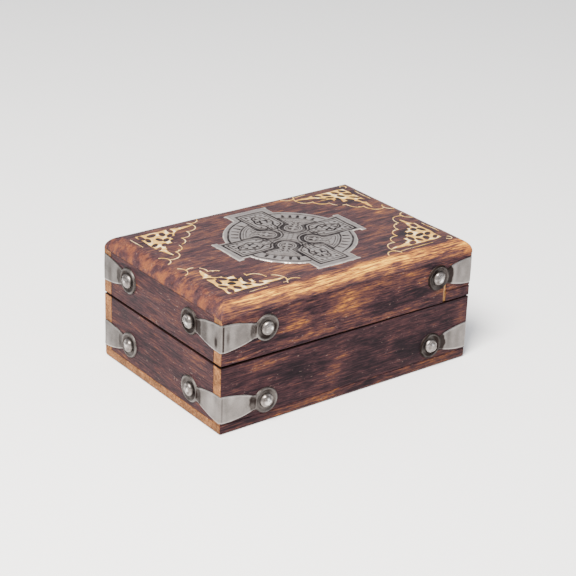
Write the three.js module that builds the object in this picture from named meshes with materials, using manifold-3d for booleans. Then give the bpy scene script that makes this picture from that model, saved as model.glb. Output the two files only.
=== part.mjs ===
/**
 * Wooden puzzle box: a base and a hinged lid of stained boards, bound at the corners by bent steel
 * straps, with a metal cross and fretwork corners let into the top. A strip along the lid's right
 * edge draws out of the front, and behind it a brass bolt slides off a headed post to free the lid.
 *
 * Millimetres, +Z up, +X along the front, +Y to the back. The origin is under the middle of the box.
 * The lid is drawn closed, with the strip home and the bolt slid off the post.
 */
import * as THREE from 'three';
import { mergeVertices } from 'three/addons/utils/BufferGeometryUtils.js';
import Module from 'manifold-3d';

const wasm = await Module();
wasm.setup();

// ---- Box ----
const boxLength = 152;
const boxDepth = 101;
const baseHeight = 34.2;
const seamGap = 0.6;
const lidWallHeight = 23.2;
const topThickness = 7;
const bottomThickness = 5;
const wallThickness = 6;
const topRoundReach = 8;
const topRoundDrop = 6.4;
const bottomChamfer = 0.7;
// Clearance round a let-in, nailed or sliding piece.
const fitGap = 0.3;
// How far the shapes that make up one solid run into each other.
const weld = 0.05;

// ---- Corner straps and their nails ----
const strapThickness = 0.6;
const strapHalfHeight = 7;
const strapNeckHalfHeight = 3.8;
const strapNeckReach = 17.6;
const strapDiscRadius = 6.65;
const strapDiscReach = 24.6;
const strapBendRadius = 1.5;
const baseStrapHeight = 13;
const lidStrapHeight = 14.1;
const nailHeadRadius = 3.7;
const nailHeadHeight = 2.5;
const nailShankRadius = 0.8;
const nailShankLength = 4.6;

// ---- Top inlays ----
const inlayThickness = 1;
const inlayProud = 0.15;
const discRadius = 33.3;
const sideArmReach = 39.2;
const sideArmHalfWidth = 11.4;
const longArmReach = 39.4;
const longArmHalfWidth = 12.4;
const cornerInset = 10.5;
const cornerLeg = 29;
const cornerWaist = 11;

// ---- Hinges ----
const hingeWidth = 22;
const hingeInset = 31;
const leafThickness = 0.8;
const leafDepth = 5;
const knuckleRadius = 1.4;
const knuckleStandOff = 1.6;
const middleKnuckleWidth = 8;
const pinRadius = 0.6;
const pinHeadRadius = 1.1;
const pinHeadThickness = 0.5;
const screwHeadRadius = 1.2;
const screwRadius = 0.6;
const screwLength = 8;
const screwSpacing = 13;
const screwInset = 2.7;

// ---- Lock ----
const stripHeight = 5.4;
const stripHeadWidth = 15.7;
const stripTravel = 60;
const stopSlack = 0.5;
const tongueHeight = 3;
const tongueRootHalfWidth = 0.9;
const tongueTopHalfWidth = 1.6;
const kerfWidth = 1.4;
const kerfHeight = 9.5;
const kerfDepth = 0.8;
const railWidth = 12;
const railDrop = 2.3;
const railRise = 9.5;
const lipThickness = 2;
const boltThickness = 2;
const boltWidth = 9.6;
const boltFrontReach = 14;
const boltTravel = 7;
const headroom = 3.7;
const keyholeRadius = 3.6;
const postRadius = 1.3;
const postHeadRadius = 2.4;
const postHeadThickness = 1.5;
const postHeadLift = 0.5;
const postDepth = 10;
const keeperLength = 24;
const keeperHeight = 14;
const lugWidth = 2.4;
const lugLength = 6;
const lugPlace = 23;
const lugFootThickness = 2;
const lugFloorGap = 0.6;

// ---- Registration peg ----
const pegRadius = 1.4;
const pegRise = 2.4;
const pegDepth = 8;
const pegPlace = -4.3;
const pegSlack = 0.6;

// ---- Derived places ----
const halfLength = boxLength / 2;
const halfDepth = boxDepth / 2;
const innerHalfLength = halfLength - wallThickness;
const innerHalfDepth = halfDepth - wallThickness;
const lidRim = baseHeight + seamGap;
const notchHeight = stripHeight + fitGap;
const railBottom = notchHeight - railDrop;
const boltBottom = railBottom + lipThickness + fitGap;
const boltTop = boltBottom + boltThickness;
const boltMiddle = innerHalfLength - railWidth / 2;
const lipGapHalfWidth = postHeadRadius + 3 * fitGap;

const materials = {
  darkWood: new THREE.MeshStandardMaterial({ color: '#5b3a2e', roughness: 0.55, metalness: 0 }),
  edgeWood: new THREE.MeshStandardMaterial({ color: '#8a5228', roughness: 0.5, metalness: 0 }),
  plainWood: new THREE.MeshStandardMaterial({ color: '#b98a58', roughness: 0.7, metalness: 0 }),
  steel: new THREE.MeshStandardMaterial({ color: '#a9a6a3', roughness: 0.35, metalness: 1 }),
  nailSteel: new THREE.MeshStandardMaterial({ color: '#c4c1bc', roughness: 0.3, metalness: 1 }),
  pewter: new THREE.MeshStandardMaterial({ color: '#8d8884', roughness: 0.5, metalness: 0.9 }),
  inlayMetal: new THREE.MeshStandardMaterial({ color: '#e6d6a2', roughness: 0.45, metalness: 0.3 }),
  brass: new THREE.MeshStandardMaterial({ color: '#b08d4c', roughness: 0.35, metalness: 1 }),
};

/** Turns a closed three.js geometry into a solid that can be joined and cut. */
function solidOf(geometry) {
  geometry.deleteAttribute('normal');
  geometry.deleteAttribute('uv');
  const merged = mergeVertices(geometry, 1e-4);
  return new wasm.Manifold(new wasm.Mesh({
    numProp: 3,
    vertProperties: new Float32Array(merged.attributes.position.array),
    triVerts: new Uint32Array(merged.index.array),
  }));
}

/** Adds a solid to a group as a named mesh. */
function addPiece(group, name, solid, material) {
  const { vertProperties, triVerts } = solid.getMesh();
  const geometry = new THREE.BufferGeometry();
  geometry.setAttribute('position', new THREE.BufferAttribute(vertProperties, 3));
  geometry.setIndex(new THREE.BufferAttribute(triVerts, 1));
  geometry.computeVertexNormals();
  const mesh = new THREE.Mesh(geometry, material);
  mesh.name = name;
  group.add(mesh);
  return mesh;
}

/** A box between two opposite corners. */
function block([x0, y0, z0], [x1, y1, z1]) {
  const geometry = new THREE.BoxGeometry(x1 - x0, y1 - y0, z1 - z0);
  return solidOf(geometry.translate((x0 + x1) / 2, (y0 + y1) / 2, (z0 + z1) / 2));
}

/** A solid of revolution about Z: the profile is [radius, height] pairs from top to bottom. */
function turned(profile, segments = 12) {
  const points = profile.map(([radius, height]) => new THREE.Vector2(radius, height));
  return solidOf(new THREE.LatheGeometry(points.reverse(), segments).rotateX(Math.PI / 2));
}

/** A round bar along X, centred on the axis. */
function barAlongX(radius, x0, x1, segments = 12) {
  const geometry = new THREE.CylinderGeometry(radius, radius, x1 - x0, segments);
  return solidOf(geometry.rotateZ(Math.PI / 2).translate((x0 + x1) / 2, 0, 0));
}

/** A flat outline, drawn in X and Y, raised along +Z. */
function raised(shape, height, curveSegments = 6) {
  return solidOf(new THREE.ExtrudeGeometry(shape, { depth: height, bevelEnabled: false, curveSegments }));
}

/** An outline, drawn in X and Z, drawn out along +Y from y0 to y1. */
function drawnAlongY(shape, y0, y1, curveSegments = 6) {
  return raised(shape, y1 - y0, curveSegments).rotate([90, 0, 0]).translate([0, y1, 0]);
}

/** Joins a list of solids. */
function joined(solids) {
  return solids.reduce((whole, solid) => whole.add(solid));
}

// ---- Corner straps and nails ----

// Each strap was bent and nailed by hand. For its two wings, in the order of the faces named here:
// how much farther from the corner the disc lies than on the pattern, and how far it climbs.
const corners = [
  {
    name: 'front_left', at: [-halfLength, -halfDepth], turn: 0, faces: ['front', 'left'],
    base: [[1.2, -1.4], [-0.1, 1]], lid: [[0.5, 0.1], [0.9, -0.4]],
  },
  {
    name: 'front_right', at: [halfLength, -halfDepth], turn: 90, faces: ['right', 'front'],
    base: [[0.4, 0.3], [-0.5, -0.3]], lid: [[1.6, 0], [-2.6, 0.2]],
  },
  {
    name: 'back_right', at: [halfLength, halfDepth], turn: 180, faces: ['back', 'right'],
    base: [[0, 0.4], [0.3, -0.5]], lid: [[-0.4, 0], [0.4, 0.5]],
  },
  {
    name: 'back_left', at: [-halfLength, halfDepth], turn: -90, faces: ['left', 'back'],
    base: [[-1.4, 1.8], [1, 0]], lid: [[-2.1, 0], [1.5, -0.3]],
  },
];
const strapBendEnd = strapBendRadius - strapThickness;

/** One wing of a strap, along +X and facing -Y: it narrows to a neck and ends in a disc. */
function strapWing(discReach, climb) {
  const neckAngle = Math.asin(strapNeckHalfHeight / strapDiscRadius);
  const neckReach = Math.min(strapNeckReach, discReach - strapDiscRadius * Math.cos(neckAngle));
  const outline = new THREE.Shape();
  outline.moveTo(strapBendEnd, -strapHalfHeight);
  outline.quadraticCurveTo(neckReach / 2, -strapHalfHeight, neckReach, -strapNeckHalfHeight);
  outline.absarc(discReach, 0, strapDiscRadius, Math.PI + neckAngle, Math.PI - neckAngle, false);
  outline.lineTo(neckReach, strapNeckHalfHeight);
  outline.quadraticCurveTo(neckReach / 2, strapHalfHeight, strapBendEnd, strapHalfHeight);
  const plate = new THREE.ExtrudeGeometry(outline, {
    depth: strapThickness, bevelEnabled: false, curveSegments: 8,
  });
  const slope = climb / (discReach - strapBendEnd);
  plate.translate(-strapBendEnd, 0, 0);
  plate.applyMatrix4(new THREE.Matrix4().makeShear(slope, 0, 0, 0, 0, 0));
  plate.translate(strapBendEnd, 0, 0);
  return solidOf(plate).rotate([90, 0, 0]);
}

/** The rounded bend between the wings, round the box's upright edge. */
function strapBend() {
  const section = new THREE.Shape();
  section.moveTo(0, 0);
  section.lineTo(0, strapBendEnd + weld);
  section.lineTo(-strapThickness, strapBendEnd + weld);
  section.lineTo(-strapThickness, strapBendEnd);
  section.absarc(strapBendEnd, strapBendEnd, strapBendRadius, Math.PI, 1.5 * Math.PI, false);
  section.lineTo(strapBendEnd + weld, -strapThickness);
  section.lineTo(strapBendEnd + weld, 0);
  return raised(section, 2 * strapHalfHeight).translate([0, 0, -strapHalfHeight]);
}

/** Where a strap's two nails sit in the strap's own frame, and which way each one faces. */
function nailSeats(corner, half) {
  const [[alongX, climbX], [alongY, climbY]] = corner[half];
  return [
    { face: corner.faces[0], at: [strapDiscReach + alongX, 0, climbX], tilt: [90, 0, 0] },
    { face: corner.faces[1], at: [0, strapDiscReach + alongY, climbY], tilt: [0, -90, 0] },
  ];
}

/** The holes for a strap's nails, through the strap and into the wood. */
function nailHoles(corner, half) {
  const bottom = -nailShankLength - fitGap;
  const top = 2 * strapThickness;
  const radius = nailShankRadius + fitGap;
  const hole = turned([[0, top], [radius, top], [radius, bottom], [0, bottom]], 10);
  return joined(nailSeats(corner, half).map((seat) => hole.rotate(seat.tilt).translate(seat.at)));
}

/** A corner strap in its own frame, with the box's upright edge on the Z axis. */
function strap(corner, half) {
  const [[alongX, climbX], [alongY, climbY]] = corner[half];
  const first = strapWing(strapDiscReach + alongX, climbX);
  const second = strapWing(strapDiscReach + alongY, climbY).rotate([0, 0, 90]);
  const bent = joined([strapBend(), first, second.translate([-strapThickness, 0, 0])]);
  return bent.subtract(nailHoles(corner, half));
}

/** A round-headed nail, facing +Z, with the wood's face at its origin. */
function nail() {
  const rings = 3;
  const dome = [];
  for (let ring = 0; ring <= rings; ring += 1) {
    const angle = (ring / rings) * (Math.PI / 2);
    const height = strapThickness + nailHeadHeight * Math.cos(angle);
    dome.push([nailHeadRadius * Math.sin(angle), height]);
  }
  const tipHeight = -nailShankLength + 2 * nailShankRadius;
  const shank = [[nailShankRadius, strapThickness], [nailShankRadius, tipHeight], [0, -nailShankLength]];
  return turned([...dome, ...shank]);
}

/** Adds a half's four straps and eight nails, at one height above the half's own floor. */
function addStraps(group, half, height) {
  for (const corner of corners) {
    const cornerGroup = new THREE.Group();
    cornerGroup.position.set(...corner.at, height);
    cornerGroup.rotation.z = THREE.MathUtils.degToRad(corner.turn);
    group.add(cornerGroup);
    addPiece(cornerGroup, `${half}_strap_${corner.name}`, strap(corner, half), materials.steel);
    for (const seat of nailSeats(corner, half)) {
      const name = `${half}_nail_${corner.name}_on_${seat.face}`;
      const mesh = addPiece(cornerGroup, name, nail(), materials.nailSteel);
      mesh.position.set(...seat.at);
      mesh.rotation.set(...seat.tilt.map(THREE.MathUtils.degToRad));
    }
  }
}

/** All the nail holes that a half's walls need, in the half's own frame. */
function wallNailHoles(half, height) {
  return joined(corners.map((corner) => (
    nailHoles(corner, half).rotate([0, 0, corner.turn]).translate([...corner.at, height])
  )));
}

// ---- Hinges ----

const hinges = [
  { name: 'hinge_left', x: hingeInset - halfLength },
  { name: 'hinge_right', x: halfLength - hingeInset },
];
const hingeAxisY = halfDepth + knuckleStandOff;
const leafUnderside = seamGap / 2 + leafThickness;

/** A countersunk screw, head up, with the top of its head at its origin; grown to cut its hole. */
function screw(growth = 0) {
  const head = screwHeadRadius + growth;
  const shank = screwRadius + growth;
  const neckDepth = leafThickness;
  const tipDepth = screwLength + growth;
  const above = growth === 0 ? 0 : leafThickness;
  return turned([[0, above], [head, above], [head, -neckDepth / 4], [shank, -neckDepth],
    [shank, 2 * shank - tipDepth], [0, -tipDepth]], 10);
}

/** Where the screws go through a leaf, from the hinge's own axis. */
const screwPlaces = [-screwSpacing / 2, screwSpacing / 2].map((x) => (
  [x, -knuckleStandOff - screwInset, -seamGap / 2]
));

/** A hinge leaf below its own axis. It carries the outer knuckles, or else the middle one. */
function hingeLeaf(carriesOuter) {
  const half = hingeWidth / 2;
  const middle = middleKnuckleWidth / 2;
  const slack = fitGap / 2;
  const clear = knuckleRadius + fitGap;
  const plate = block(
    [-half, -knuckleStandOff - leafDepth, -leafUnderside],
    [half, -clear, -seamGap / 2],
  );
  const spans = carriesOuter
    ? [[-half, -middle - slack], [middle + slack, half]]
    : [[-middle + slack, middle - slack]];
  const knuckles = spans.map(([x0, x1]) => (
    block([x0, -clear - weld, -leafUnderside], [x1, 0, -seamGap / 2])
      .add(barAlongX(knuckleRadius, x0, x1))
  ));
  const bore = barAlongX(pinRadius + fitGap / 2, -hingeWidth, hingeWidth);
  const holes = screwPlaces.map((place) => screw(fitGap).translate(place));
  return joined([plate, ...knuckles]).subtract(joined([bore, ...holes]));
}

/** The hinge pin, with a peened head at each end. */
function hingePin() {
  const end = hingeWidth / 2 + fitGap / 3;
  const headEnd = end + pinHeadThickness;
  return joined([
    barAlongX(pinRadius, -end - weld, end + weld),
    barAlongX(pinHeadRadius, -headEnd, -end),
    barAlongX(pinHeadRadius, end, headEnd),
  ]);
}

/** What the hinges take out of a rim that lies at half the seam below their axes. */
function hingeHousings() {
  const half = hingeWidth / 2 + fitGap;
  const housing = block(
    [-half, -knuckleStandOff - leafDepth - fitGap, -leafUnderside],
    [half, 0, 0],
  );
  const cut = joined([housing, ...screwPlaces.map((place) => screw(fitGap).translate(place))]);
  return joined(hinges.map(({ x }) => cut.translate([x, hingeAxisY, 0])));
}

/** Adds the hinges' leaves and screws to one half, and the pins to the base. */
function addHinges(group, half, axisZ) {
  const isBase = half === 'base';
  for (const { name, x } of hinges) {
    const hinge = new THREE.Group();
    hinge.position.set(x, hingeAxisY, axisZ);
    hinge.rotation.y = isBase ? 0 : Math.PI;
    group.add(hinge);
    addPiece(hinge, `${name}_${half}_leaf`, hingeLeaf(isBase), materials.brass);
    if (isBase) addPiece(hinge, `${name}_pin`, hingePin(), materials.brass);
    screwPlaces.forEach((place, index) => {
      const mesh = addPiece(hinge, `${name}_${half}_screw_${index + 1}`, screw(), materials.brass);
      mesh.position.set(...place);
    });
  }
}

// ---- Wooden boards ----

/** The floor board, with its lower edges taken off. */
function bottomBoard() {
  const section = (halfWidth) => {
    const outline = new THREE.Shape();
    outline.moveTo(bottomChamfer - halfWidth, 0);
    outline.lineTo(halfWidth - bottomChamfer, 0);
    outline.lineTo(halfWidth, bottomChamfer);
    outline.lineTo(halfWidth, bottomThickness);
    outline.lineTo(-halfWidth, bottomThickness);
    outline.lineTo(-halfWidth, bottomChamfer);
    return outline;
  };
  const across = drawnAlongY(section(halfLength), -halfDepth, halfDepth);
  const along = drawnAlongY(section(halfDepth), -halfLength, halfLength).rotate([0, 0, 90]);
  return across.intersect(along);
}

/** The four walls of a half between two heights: front and back run the full length. */
function walls(low, high) {
  return {
    front: block([-halfLength, -halfDepth, low], [halfLength, -innerHalfDepth, high]),
    back: block([-halfLength, innerHalfDepth, low], [halfLength, halfDepth, high]),
    left: block([-halfLength, -innerHalfDepth, low], [-innerHalfLength, innerHalfDepth, high]),
    right: block([innerHalfLength, -innerHalfDepth, low], [halfLength, innerHalfDepth, high]),
  };
}

/** The registration peg, or its hole when it is grown; its origin is in the plane of the rim. */
function registrationPeg(growth = 0, extraDepth = 0) {
  const radius = pegRadius + growth;
  const top = pegRise + growth;
  const bottom = -pegDepth - extraDepth;
  const peg = turned([[0, top], [radius / 2, top], [radius, top - radius / 2], [radius, bottom], [0, bottom]]);
  return peg.translate([wallThickness / 2 - halfLength, pegPlace, 0]);
}

/** The round-edged board on top, let out for the metal in its face. */
function topBoard() {
  const section = (halfWidth) => {
    const shoulder = topThickness - topRoundDrop;
    const outline = new THREE.Shape();
    outline.moveTo(-halfWidth, 0);
    outline.lineTo(halfWidth, 0);
    outline.absellipse(halfWidth - topRoundReach, shoulder, topRoundReach, topRoundDrop, 0, Math.PI / 2);
    outline.absellipse(topRoundReach - halfWidth, shoulder, topRoundReach, topRoundDrop, Math.PI / 2, Math.PI);
    return outline;
  };
  const across = drawnAlongY(section(halfLength), -halfDepth, halfDepth);
  const along = drawnAlongY(section(halfDepth), -halfLength, halfLength).rotate([0, 0, 90]);
  const recesses = [crossPlate(fitGap)];
  for (const { at, turn } of corners) {
    recesses.push(cornerInlay(fitGap).rotate([0, 0, turn]).translate([...at, 0]));
  }
  const floor = topThickness - inlayThickness + inlayProud;
  return across.intersect(along).subtract(joined(recesses).translate([0, 0, floor]));
}

/** The ringed cross, standing on its own floor; grown to cut its recess. */
function crossPlate(growth = 0) {
  const arm = (reach, halfWidth) => block(
    [-reach - growth, -halfWidth - growth, 0],
    [reach + growth, halfWidth + growth, inlayThickness],
  );
  const radius = discRadius + growth;
  const disc = turned([[0, inlayThickness], [radius, inlayThickness], [radius, 0], [0, 0]], 48);
  return joined([
    disc,
    arm(sideArmReach, sideArmHalfWidth),
    arm(longArmReach, longArmHalfWidth).rotate([0, 0, 90]),
  ]);
}

/** A fretwork corner's outline as a thin plate, with the box's corner at its origin. */
function cornerInlay(growth = 0) {
  const inner = cornerInset - growth;
  const tip = cornerInset + cornerLeg + growth;
  const waist = cornerInset + cornerWaist + growth;
  const outline = new THREE.Shape();
  outline.moveTo(inner, inner);
  outline.lineTo(tip, inner);
  outline.lineTo(tip, inner + 2 * growth + 1);
  outline.quadraticCurveTo(waist, waist, inner + 2 * growth + 1, tip);
  outline.lineTo(inner, tip);
  return raised(outline, inlayThickness);
}

// ---- Lock ----

/** The tongue's section, or its groove when it is grown, in X and Z, with its root at the origin. */
function tongueSection(growth = 0) {
  const root = tongueRootHalfWidth + growth;
  const top = tongueTopHalfWidth + growth;
  const outline = new THREE.Shape();
  outline.moveTo(-root, -weld);
  outline.lineTo(root, -weld);
  outline.lineTo(root, 0);
  outline.lineTo(top, tongueHeight + growth);
  outline.lineTo(-top, tongueHeight + growth);
  outline.lineTo(-root, 0);
  return outline;
}

const tongueX = innerHalfLength + wallThickness / 2;
const stripBack = innerHalfDepth - fitGap;
const tongueFront = stopSlack - innerHalfDepth + stripTravel;

/** The strip that draws out of the front: its head fills the notch, its tongue runs in the wall. */
function lockStrip() {
  const runner = block(
    [innerHalfLength + fitGap, -innerHalfDepth - fitGap - weld, 0],
    [halfLength, stripBack, stripHeight],
  );
  const head = block(
    [halfLength - stripHeadWidth, -halfDepth, 0],
    [halfLength, -innerHalfDepth - fitGap, stripHeight],
  );
  const tongue = drawnAlongY(tongueSection(), tongueFront, stripBack);
  return joined([runner, head, tongue.translate([tongueX, 0, stripHeight])]);
}

/** What the strip and the saw that made room for it take out of the lid's front wall. */
function frontNotch() {
  const notchX = halfLength - stripHeadWidth - fitGap;
  const notch = block([notchX, -boxDepth, -1], [boxLength, 0, notchHeight]);
  const kerf = block([notchX - kerfWidth, -boxDepth, -1], [notchX, kerfDepth - halfDepth, kerfHeight]);
  return notch.add(kerf);
}

/** The rail that carries the bolt: a block with a lipped slot, open at the back for the bolt. */
function lockRail() {
  const slotFront = -boltFrontReach - boltTravel - fitGap;
  const gapFront = -postHeadRadius - 5 * fitGap;
  const halfSlot = boltWidth / 2 + fitGap;
  const rail = block(
    [-railWidth / 2, -innerHalfDepth, railBottom],
    [railWidth / 2, innerHalfDepth, notchHeight + railRise],
  );
  const slot = block(
    [-halfSlot, slotFront, boltBottom - fitGap],
    [halfSlot, innerHalfDepth, boltTop + fitGap],
  );
  const gap = block(
    [-lipGapHalfWidth, gapFront, railBottom],
    [lipGapHalfWidth, innerHalfDepth, boltTop],
  );
  const pocket = block(
    [-lipGapHalfWidth, gapFront, boltBottom],
    [lipGapHalfWidth, -gapFront, boltTop + fitGap + headroom],
  );
  return rail.subtract(joined([slot, gap, pocket])).translate([boltMiddle, 0, 0]);
}

/** The bolt: a brass plate with a keyhole, and a lug that turns out towards the strip's window. */
function lockBolt() {
  const plate = block(
    [-boltWidth / 2, -boltFrontReach, boltBottom],
    [boltWidth / 2, innerHalfDepth - fitGap, boltTop],
  );
  const footOuter = railWidth / 2 - fitGap;
  const stemOuter = lipGapHalfWidth - fitGap;
  const stem = block(
    [stemOuter - lugWidth, lugPlace, lugFloorGap],
    [stemOuter, lugPlace + lugLength, boltBottom + weld],
  );
  const foot = block(
    [stemOuter - weld, lugPlace, lugFloorGap],
    [footOuter, lugPlace + lugLength, Math.min(lugFloorGap + lugFootThickness, railBottom - fitGap)],
  );
  const high = boltTop + 1;
  const low = boltBottom - 1;
  const keyhole = turned([[0, high], [keyholeRadius, high], [keyholeRadius, low], [0, low]], 20);
  const slotHalf = postRadius + fitGap;
  const slotEnd = turned([[0, high], [slotHalf, high], [slotHalf, low], [0, low]], 12);
  const slot = block([-slotHalf, 0, low], [slotHalf, boltTravel, high]);
  const cut = joined([keyhole, slot, slotEnd.translate([0, boltTravel, 0])]);
  return joined([plate, stem, foot]).subtract(cut).translate([boltMiddle, 0, 0]);
}

/** The headed post that the bolt slides under, from the base's rim; grown to cut its hole. */
function keeperPost(growth = 0) {
  const shank = postRadius + growth;
  const headBottom = seamGap + boltTop + postHeadLift;
  const headTop = headBottom + postHeadThickness;
  const bottom = -postDepth - growth;
  const edge = postHeadRadius + growth;
  const post = turned([[0, headTop], [edge / 2, headTop], [edge, headTop - postHeadThickness / 2],
    [edge, headBottom], [shank, headBottom], [shank, bottom], [0, bottom]], 16);
  return post.translate([boltMiddle, 0, 0]);
}

// ---- The two halves ----

/** The base, standing on its own floor. */
function makeBase() {
  const base = new THREE.Group();
  const boards = walls(bottomThickness, baseHeight);
  const holes = wallNailHoles('base', baseStrapHeight);
  const housings = hingeHousings().translate([0, 0, baseHeight + seamGap / 2]);
  const pegHole = registrationPeg(fitGap, fitGap).translate([0, 0, baseHeight]);
  const { darkWood, edgeWood, plainWood, brass } = materials;
  addPiece(base, 'bottom_board', bottomBoard(), edgeWood);
  addPiece(base, 'base_front_wall', boards.front.subtract(holes), darkWood);
  addPiece(base, 'base_back_wall', boards.back.subtract(holes).subtract(housings), darkWood);
  addPiece(base, 'base_left_wall', boards.left.subtract(holes).subtract(pegHole), darkWood);
  addPiece(base, 'base_right_wall', boards.right.subtract(holes), darkWood);
  addStraps(base, 'base', baseStrapHeight);
  addHinges(base, 'base', baseHeight + seamGap / 2);
  const keeper = block(
    [innerHalfLength - railWidth, -keeperLength / 2, baseHeight - keeperHeight],
    [innerHalfLength, keeperLength / 2, baseHeight],
  );
  const postHole = keeperPost(fitGap).translate([0, 0, baseHeight]);
  addPiece(base, 'keeper_block', keeper.subtract(postHole), plainWood);
  addPiece(base, 'keeper_post', keeperPost(), brass).position.z = baseHeight;
  addPiece(base, 'registration_peg', registrationPeg(), plainWood).position.z = baseHeight;
  return base;
}

/** The lid, drawn from its own rim up. */
function makeLid() {
  const lid = new THREE.Group();
  const boards = walls(0, lidWallHeight);
  const holes = wallNailHoles('lid', lidStrapHeight);
  const housings = hingeHousings().rotate([0, 180, 0]).translate([0, 0, -seamGap / 2]);
  const pegHole = registrationPeg(pegSlack).translate([0, 0, -seamGap]);
  const stripRoom = block(
    [innerHalfLength, -innerHalfDepth, 0],
    [halfLength, innerHalfDepth, notchHeight],
  );
  const groove = drawnAlongY(tongueSection(fitGap), -innerHalfDepth, innerHalfDepth);
  const stripCuts = stripRoom.add(groove.translate([tongueX, 0, notchHeight - fitGap]));
  const { darkWood, plainWood, pewter, inlayMetal } = materials;
  addPiece(lid, 'lid_front_wall', boards.front.subtract(holes).subtract(frontNotch()), darkWood);
  addPiece(lid, 'lid_back_wall', boards.back.subtract(holes).subtract(housings), darkWood);
  addPiece(lid, 'lid_left_wall', boards.left.subtract(holes).subtract(pegHole), darkWood);
  addPiece(lid, 'lid_right_wall', boards.right.subtract(holes).subtract(stripCuts), darkWood);
  addStraps(lid, 'lid', lidStrapHeight);
  addHinges(lid, 'lid', -seamGap / 2);
  addPiece(lid, 'lock_rail', lockRail(), plainWood);

  const top = new THREE.Group();
  top.position.z = lidWallHeight;
  lid.add(top);
  addPiece(top, 'lid_top_board', topBoard(), darkWood);
  const inlayFloor = topThickness - inlayThickness + inlayProud;
  addPiece(top, 'medallion', crossPlate(), pewter).position.z = inlayFloor;
  for (const { name, at, turn } of corners) {
    const mesh = addPiece(top, `inlay_${name}`, cornerInlay(), inlayMetal);
    mesh.position.set(...at, inlayFloor);
    mesh.rotation.z = THREE.MathUtils.degToRad(turn);
  }
  return lid;
}

const puzzleBox = new THREE.Group();
const lidHalf = makeLid();
lidHalf.position.z = lidRim;
addPiece(lidHalf, 'lock_strip', lockStrip(), materials.darkWood);
addPiece(lidHalf, 'lock_bolt', lockBolt(), materials.brass);
puzzleBox.add(makeBase(), lidHalf);

export default puzzleBox;
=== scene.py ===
"""Looks of a wooden puzzle box: stained boards, bent steel corner straps with domed nails, a chased pewter
cross and pale fretwork corners in the lid, brass hinges and the hidden lock.

Shapes are worked out in millimetres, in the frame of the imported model, and written to meshes in metres.
"""
import sys
import logging
import math
from dataclasses import dataclass, field
from enum import Enum
from functools import partial
from typing import Any, Callable, Sequence

import bmesh
import bpy
import numpy as np
from mathutils import Matrix


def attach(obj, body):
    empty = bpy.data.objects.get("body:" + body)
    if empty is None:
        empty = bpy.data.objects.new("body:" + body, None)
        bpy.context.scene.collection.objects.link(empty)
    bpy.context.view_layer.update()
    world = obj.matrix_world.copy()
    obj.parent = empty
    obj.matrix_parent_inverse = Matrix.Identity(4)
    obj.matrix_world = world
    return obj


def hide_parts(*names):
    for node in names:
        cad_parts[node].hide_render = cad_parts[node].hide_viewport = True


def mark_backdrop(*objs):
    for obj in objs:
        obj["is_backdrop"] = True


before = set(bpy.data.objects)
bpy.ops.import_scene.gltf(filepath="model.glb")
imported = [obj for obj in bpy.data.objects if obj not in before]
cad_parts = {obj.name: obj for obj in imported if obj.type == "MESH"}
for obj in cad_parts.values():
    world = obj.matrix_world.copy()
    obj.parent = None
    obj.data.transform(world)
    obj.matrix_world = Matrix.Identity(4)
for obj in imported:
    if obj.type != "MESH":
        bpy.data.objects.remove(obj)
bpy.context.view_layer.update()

log = logging.getLogger("puzzle_box")

MM = 0.001
HALF_LENGTH, HALF_DEPTH, TOP_HEIGHT = 76.0, 50.5, 65.0
BASE_RIM, LID_RIM, LID_SHOULDER = 34.2, 34.8, 58.0
RIM_LIFT, RIM_FALL = 0.36, 0.8
# For each corner: its side along x and along y, and the turn in degrees that brings the front left one there.
CORNERS = {
    "front_left": (-1, -1, 0), "front_right": (1, -1, 90), "back_right": (1, 1, 180), "back_left": (-1, 1,
                                                                                                    -90),
}
# For each face: the way it looks along x and y.
FACES = {(0, -1): "front", (1, 0): "right", (0, 1): "back", (-1, 0): "left"}
# Settings that several nodes share.
SOFT_ENDS = {"interpolation_type": "SMOOTHSTEP"}
COLOURS = {"data_type": "RGBA"}

Array = np.ndarray
Field = Callable[[Array, Array], Array]
Feed = bpy.types.Node | bpy.types.NodeSocket | float | Sequence[float]
Stops = Sequence[tuple[float, str]]


class Grain(Enum):
    """The way the grain of a board runs."""

    ALONG_X = "x"
    ALONG_Y = "y"
    ROUND_CORNER = "along x on the front face and along y elsewhere"


# ---- Small tools ----


def linear(colour: str) -> tuple[float, float, float, float]:
    """Turns an sRGB hex colour into linear light.

    Args:
        colour: Six hex digits after a hash sign.

    Returns:
        Linear red, green and blue, and an alpha of 1.
    """
    parts = [int(colour[i : i + 2], 16) / 255 for i in (1, 3, 5)]
    return (*(c / 12.92 if c <= 0.04045 else ((c + 0.055) / 1.055) ** 2.4 for c in parts), 1.0)


def feed(tree: bpy.types.NodeTree, made: bpy.types.Node, feeds: Sequence[Feed] | dict[Any, Feed]) -> None:
    """Links a node's inputs or sets their values.

    Args:
        tree: The node tree.
        made: The node.
        feeds: What goes in, for the first inputs in order, or for inputs by name or number. A node stands for
            its first enabled output.
    """
    for name, value in feeds.items() if isinstance(feeds, dict) else enumerate(feeds):
        if isinstance(value, bpy.types.Node):
            value = next(output for output in value.outputs if output.enabled)
        if isinstance(value, bpy.types.NodeSocket):
            tree.links.new(value, made.inputs[name])
        else:
            made.inputs[name].default_value = value


def node(tree: bpy.types.NodeTree, kind: str, feeds: Sequence[Feed] | dict[Any, Feed] = (),
         **settings: Any) -> bpy.types.Node:
    """Adds one node with its settings, values and links.

    Args:
        tree: The node tree that gets it.
        kind: The node's type name, without "ShaderNode".
        feeds: What goes into its inputs, as feed() takes it.
        **settings: The node's own properties.

    Returns:
        The new node.
    """
    made = tree.nodes.new("ShaderNode" + kind)
    for name, value in settings.items():
        setattr(made, name, value)
    feed(tree, made, feeds)
    return made


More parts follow.
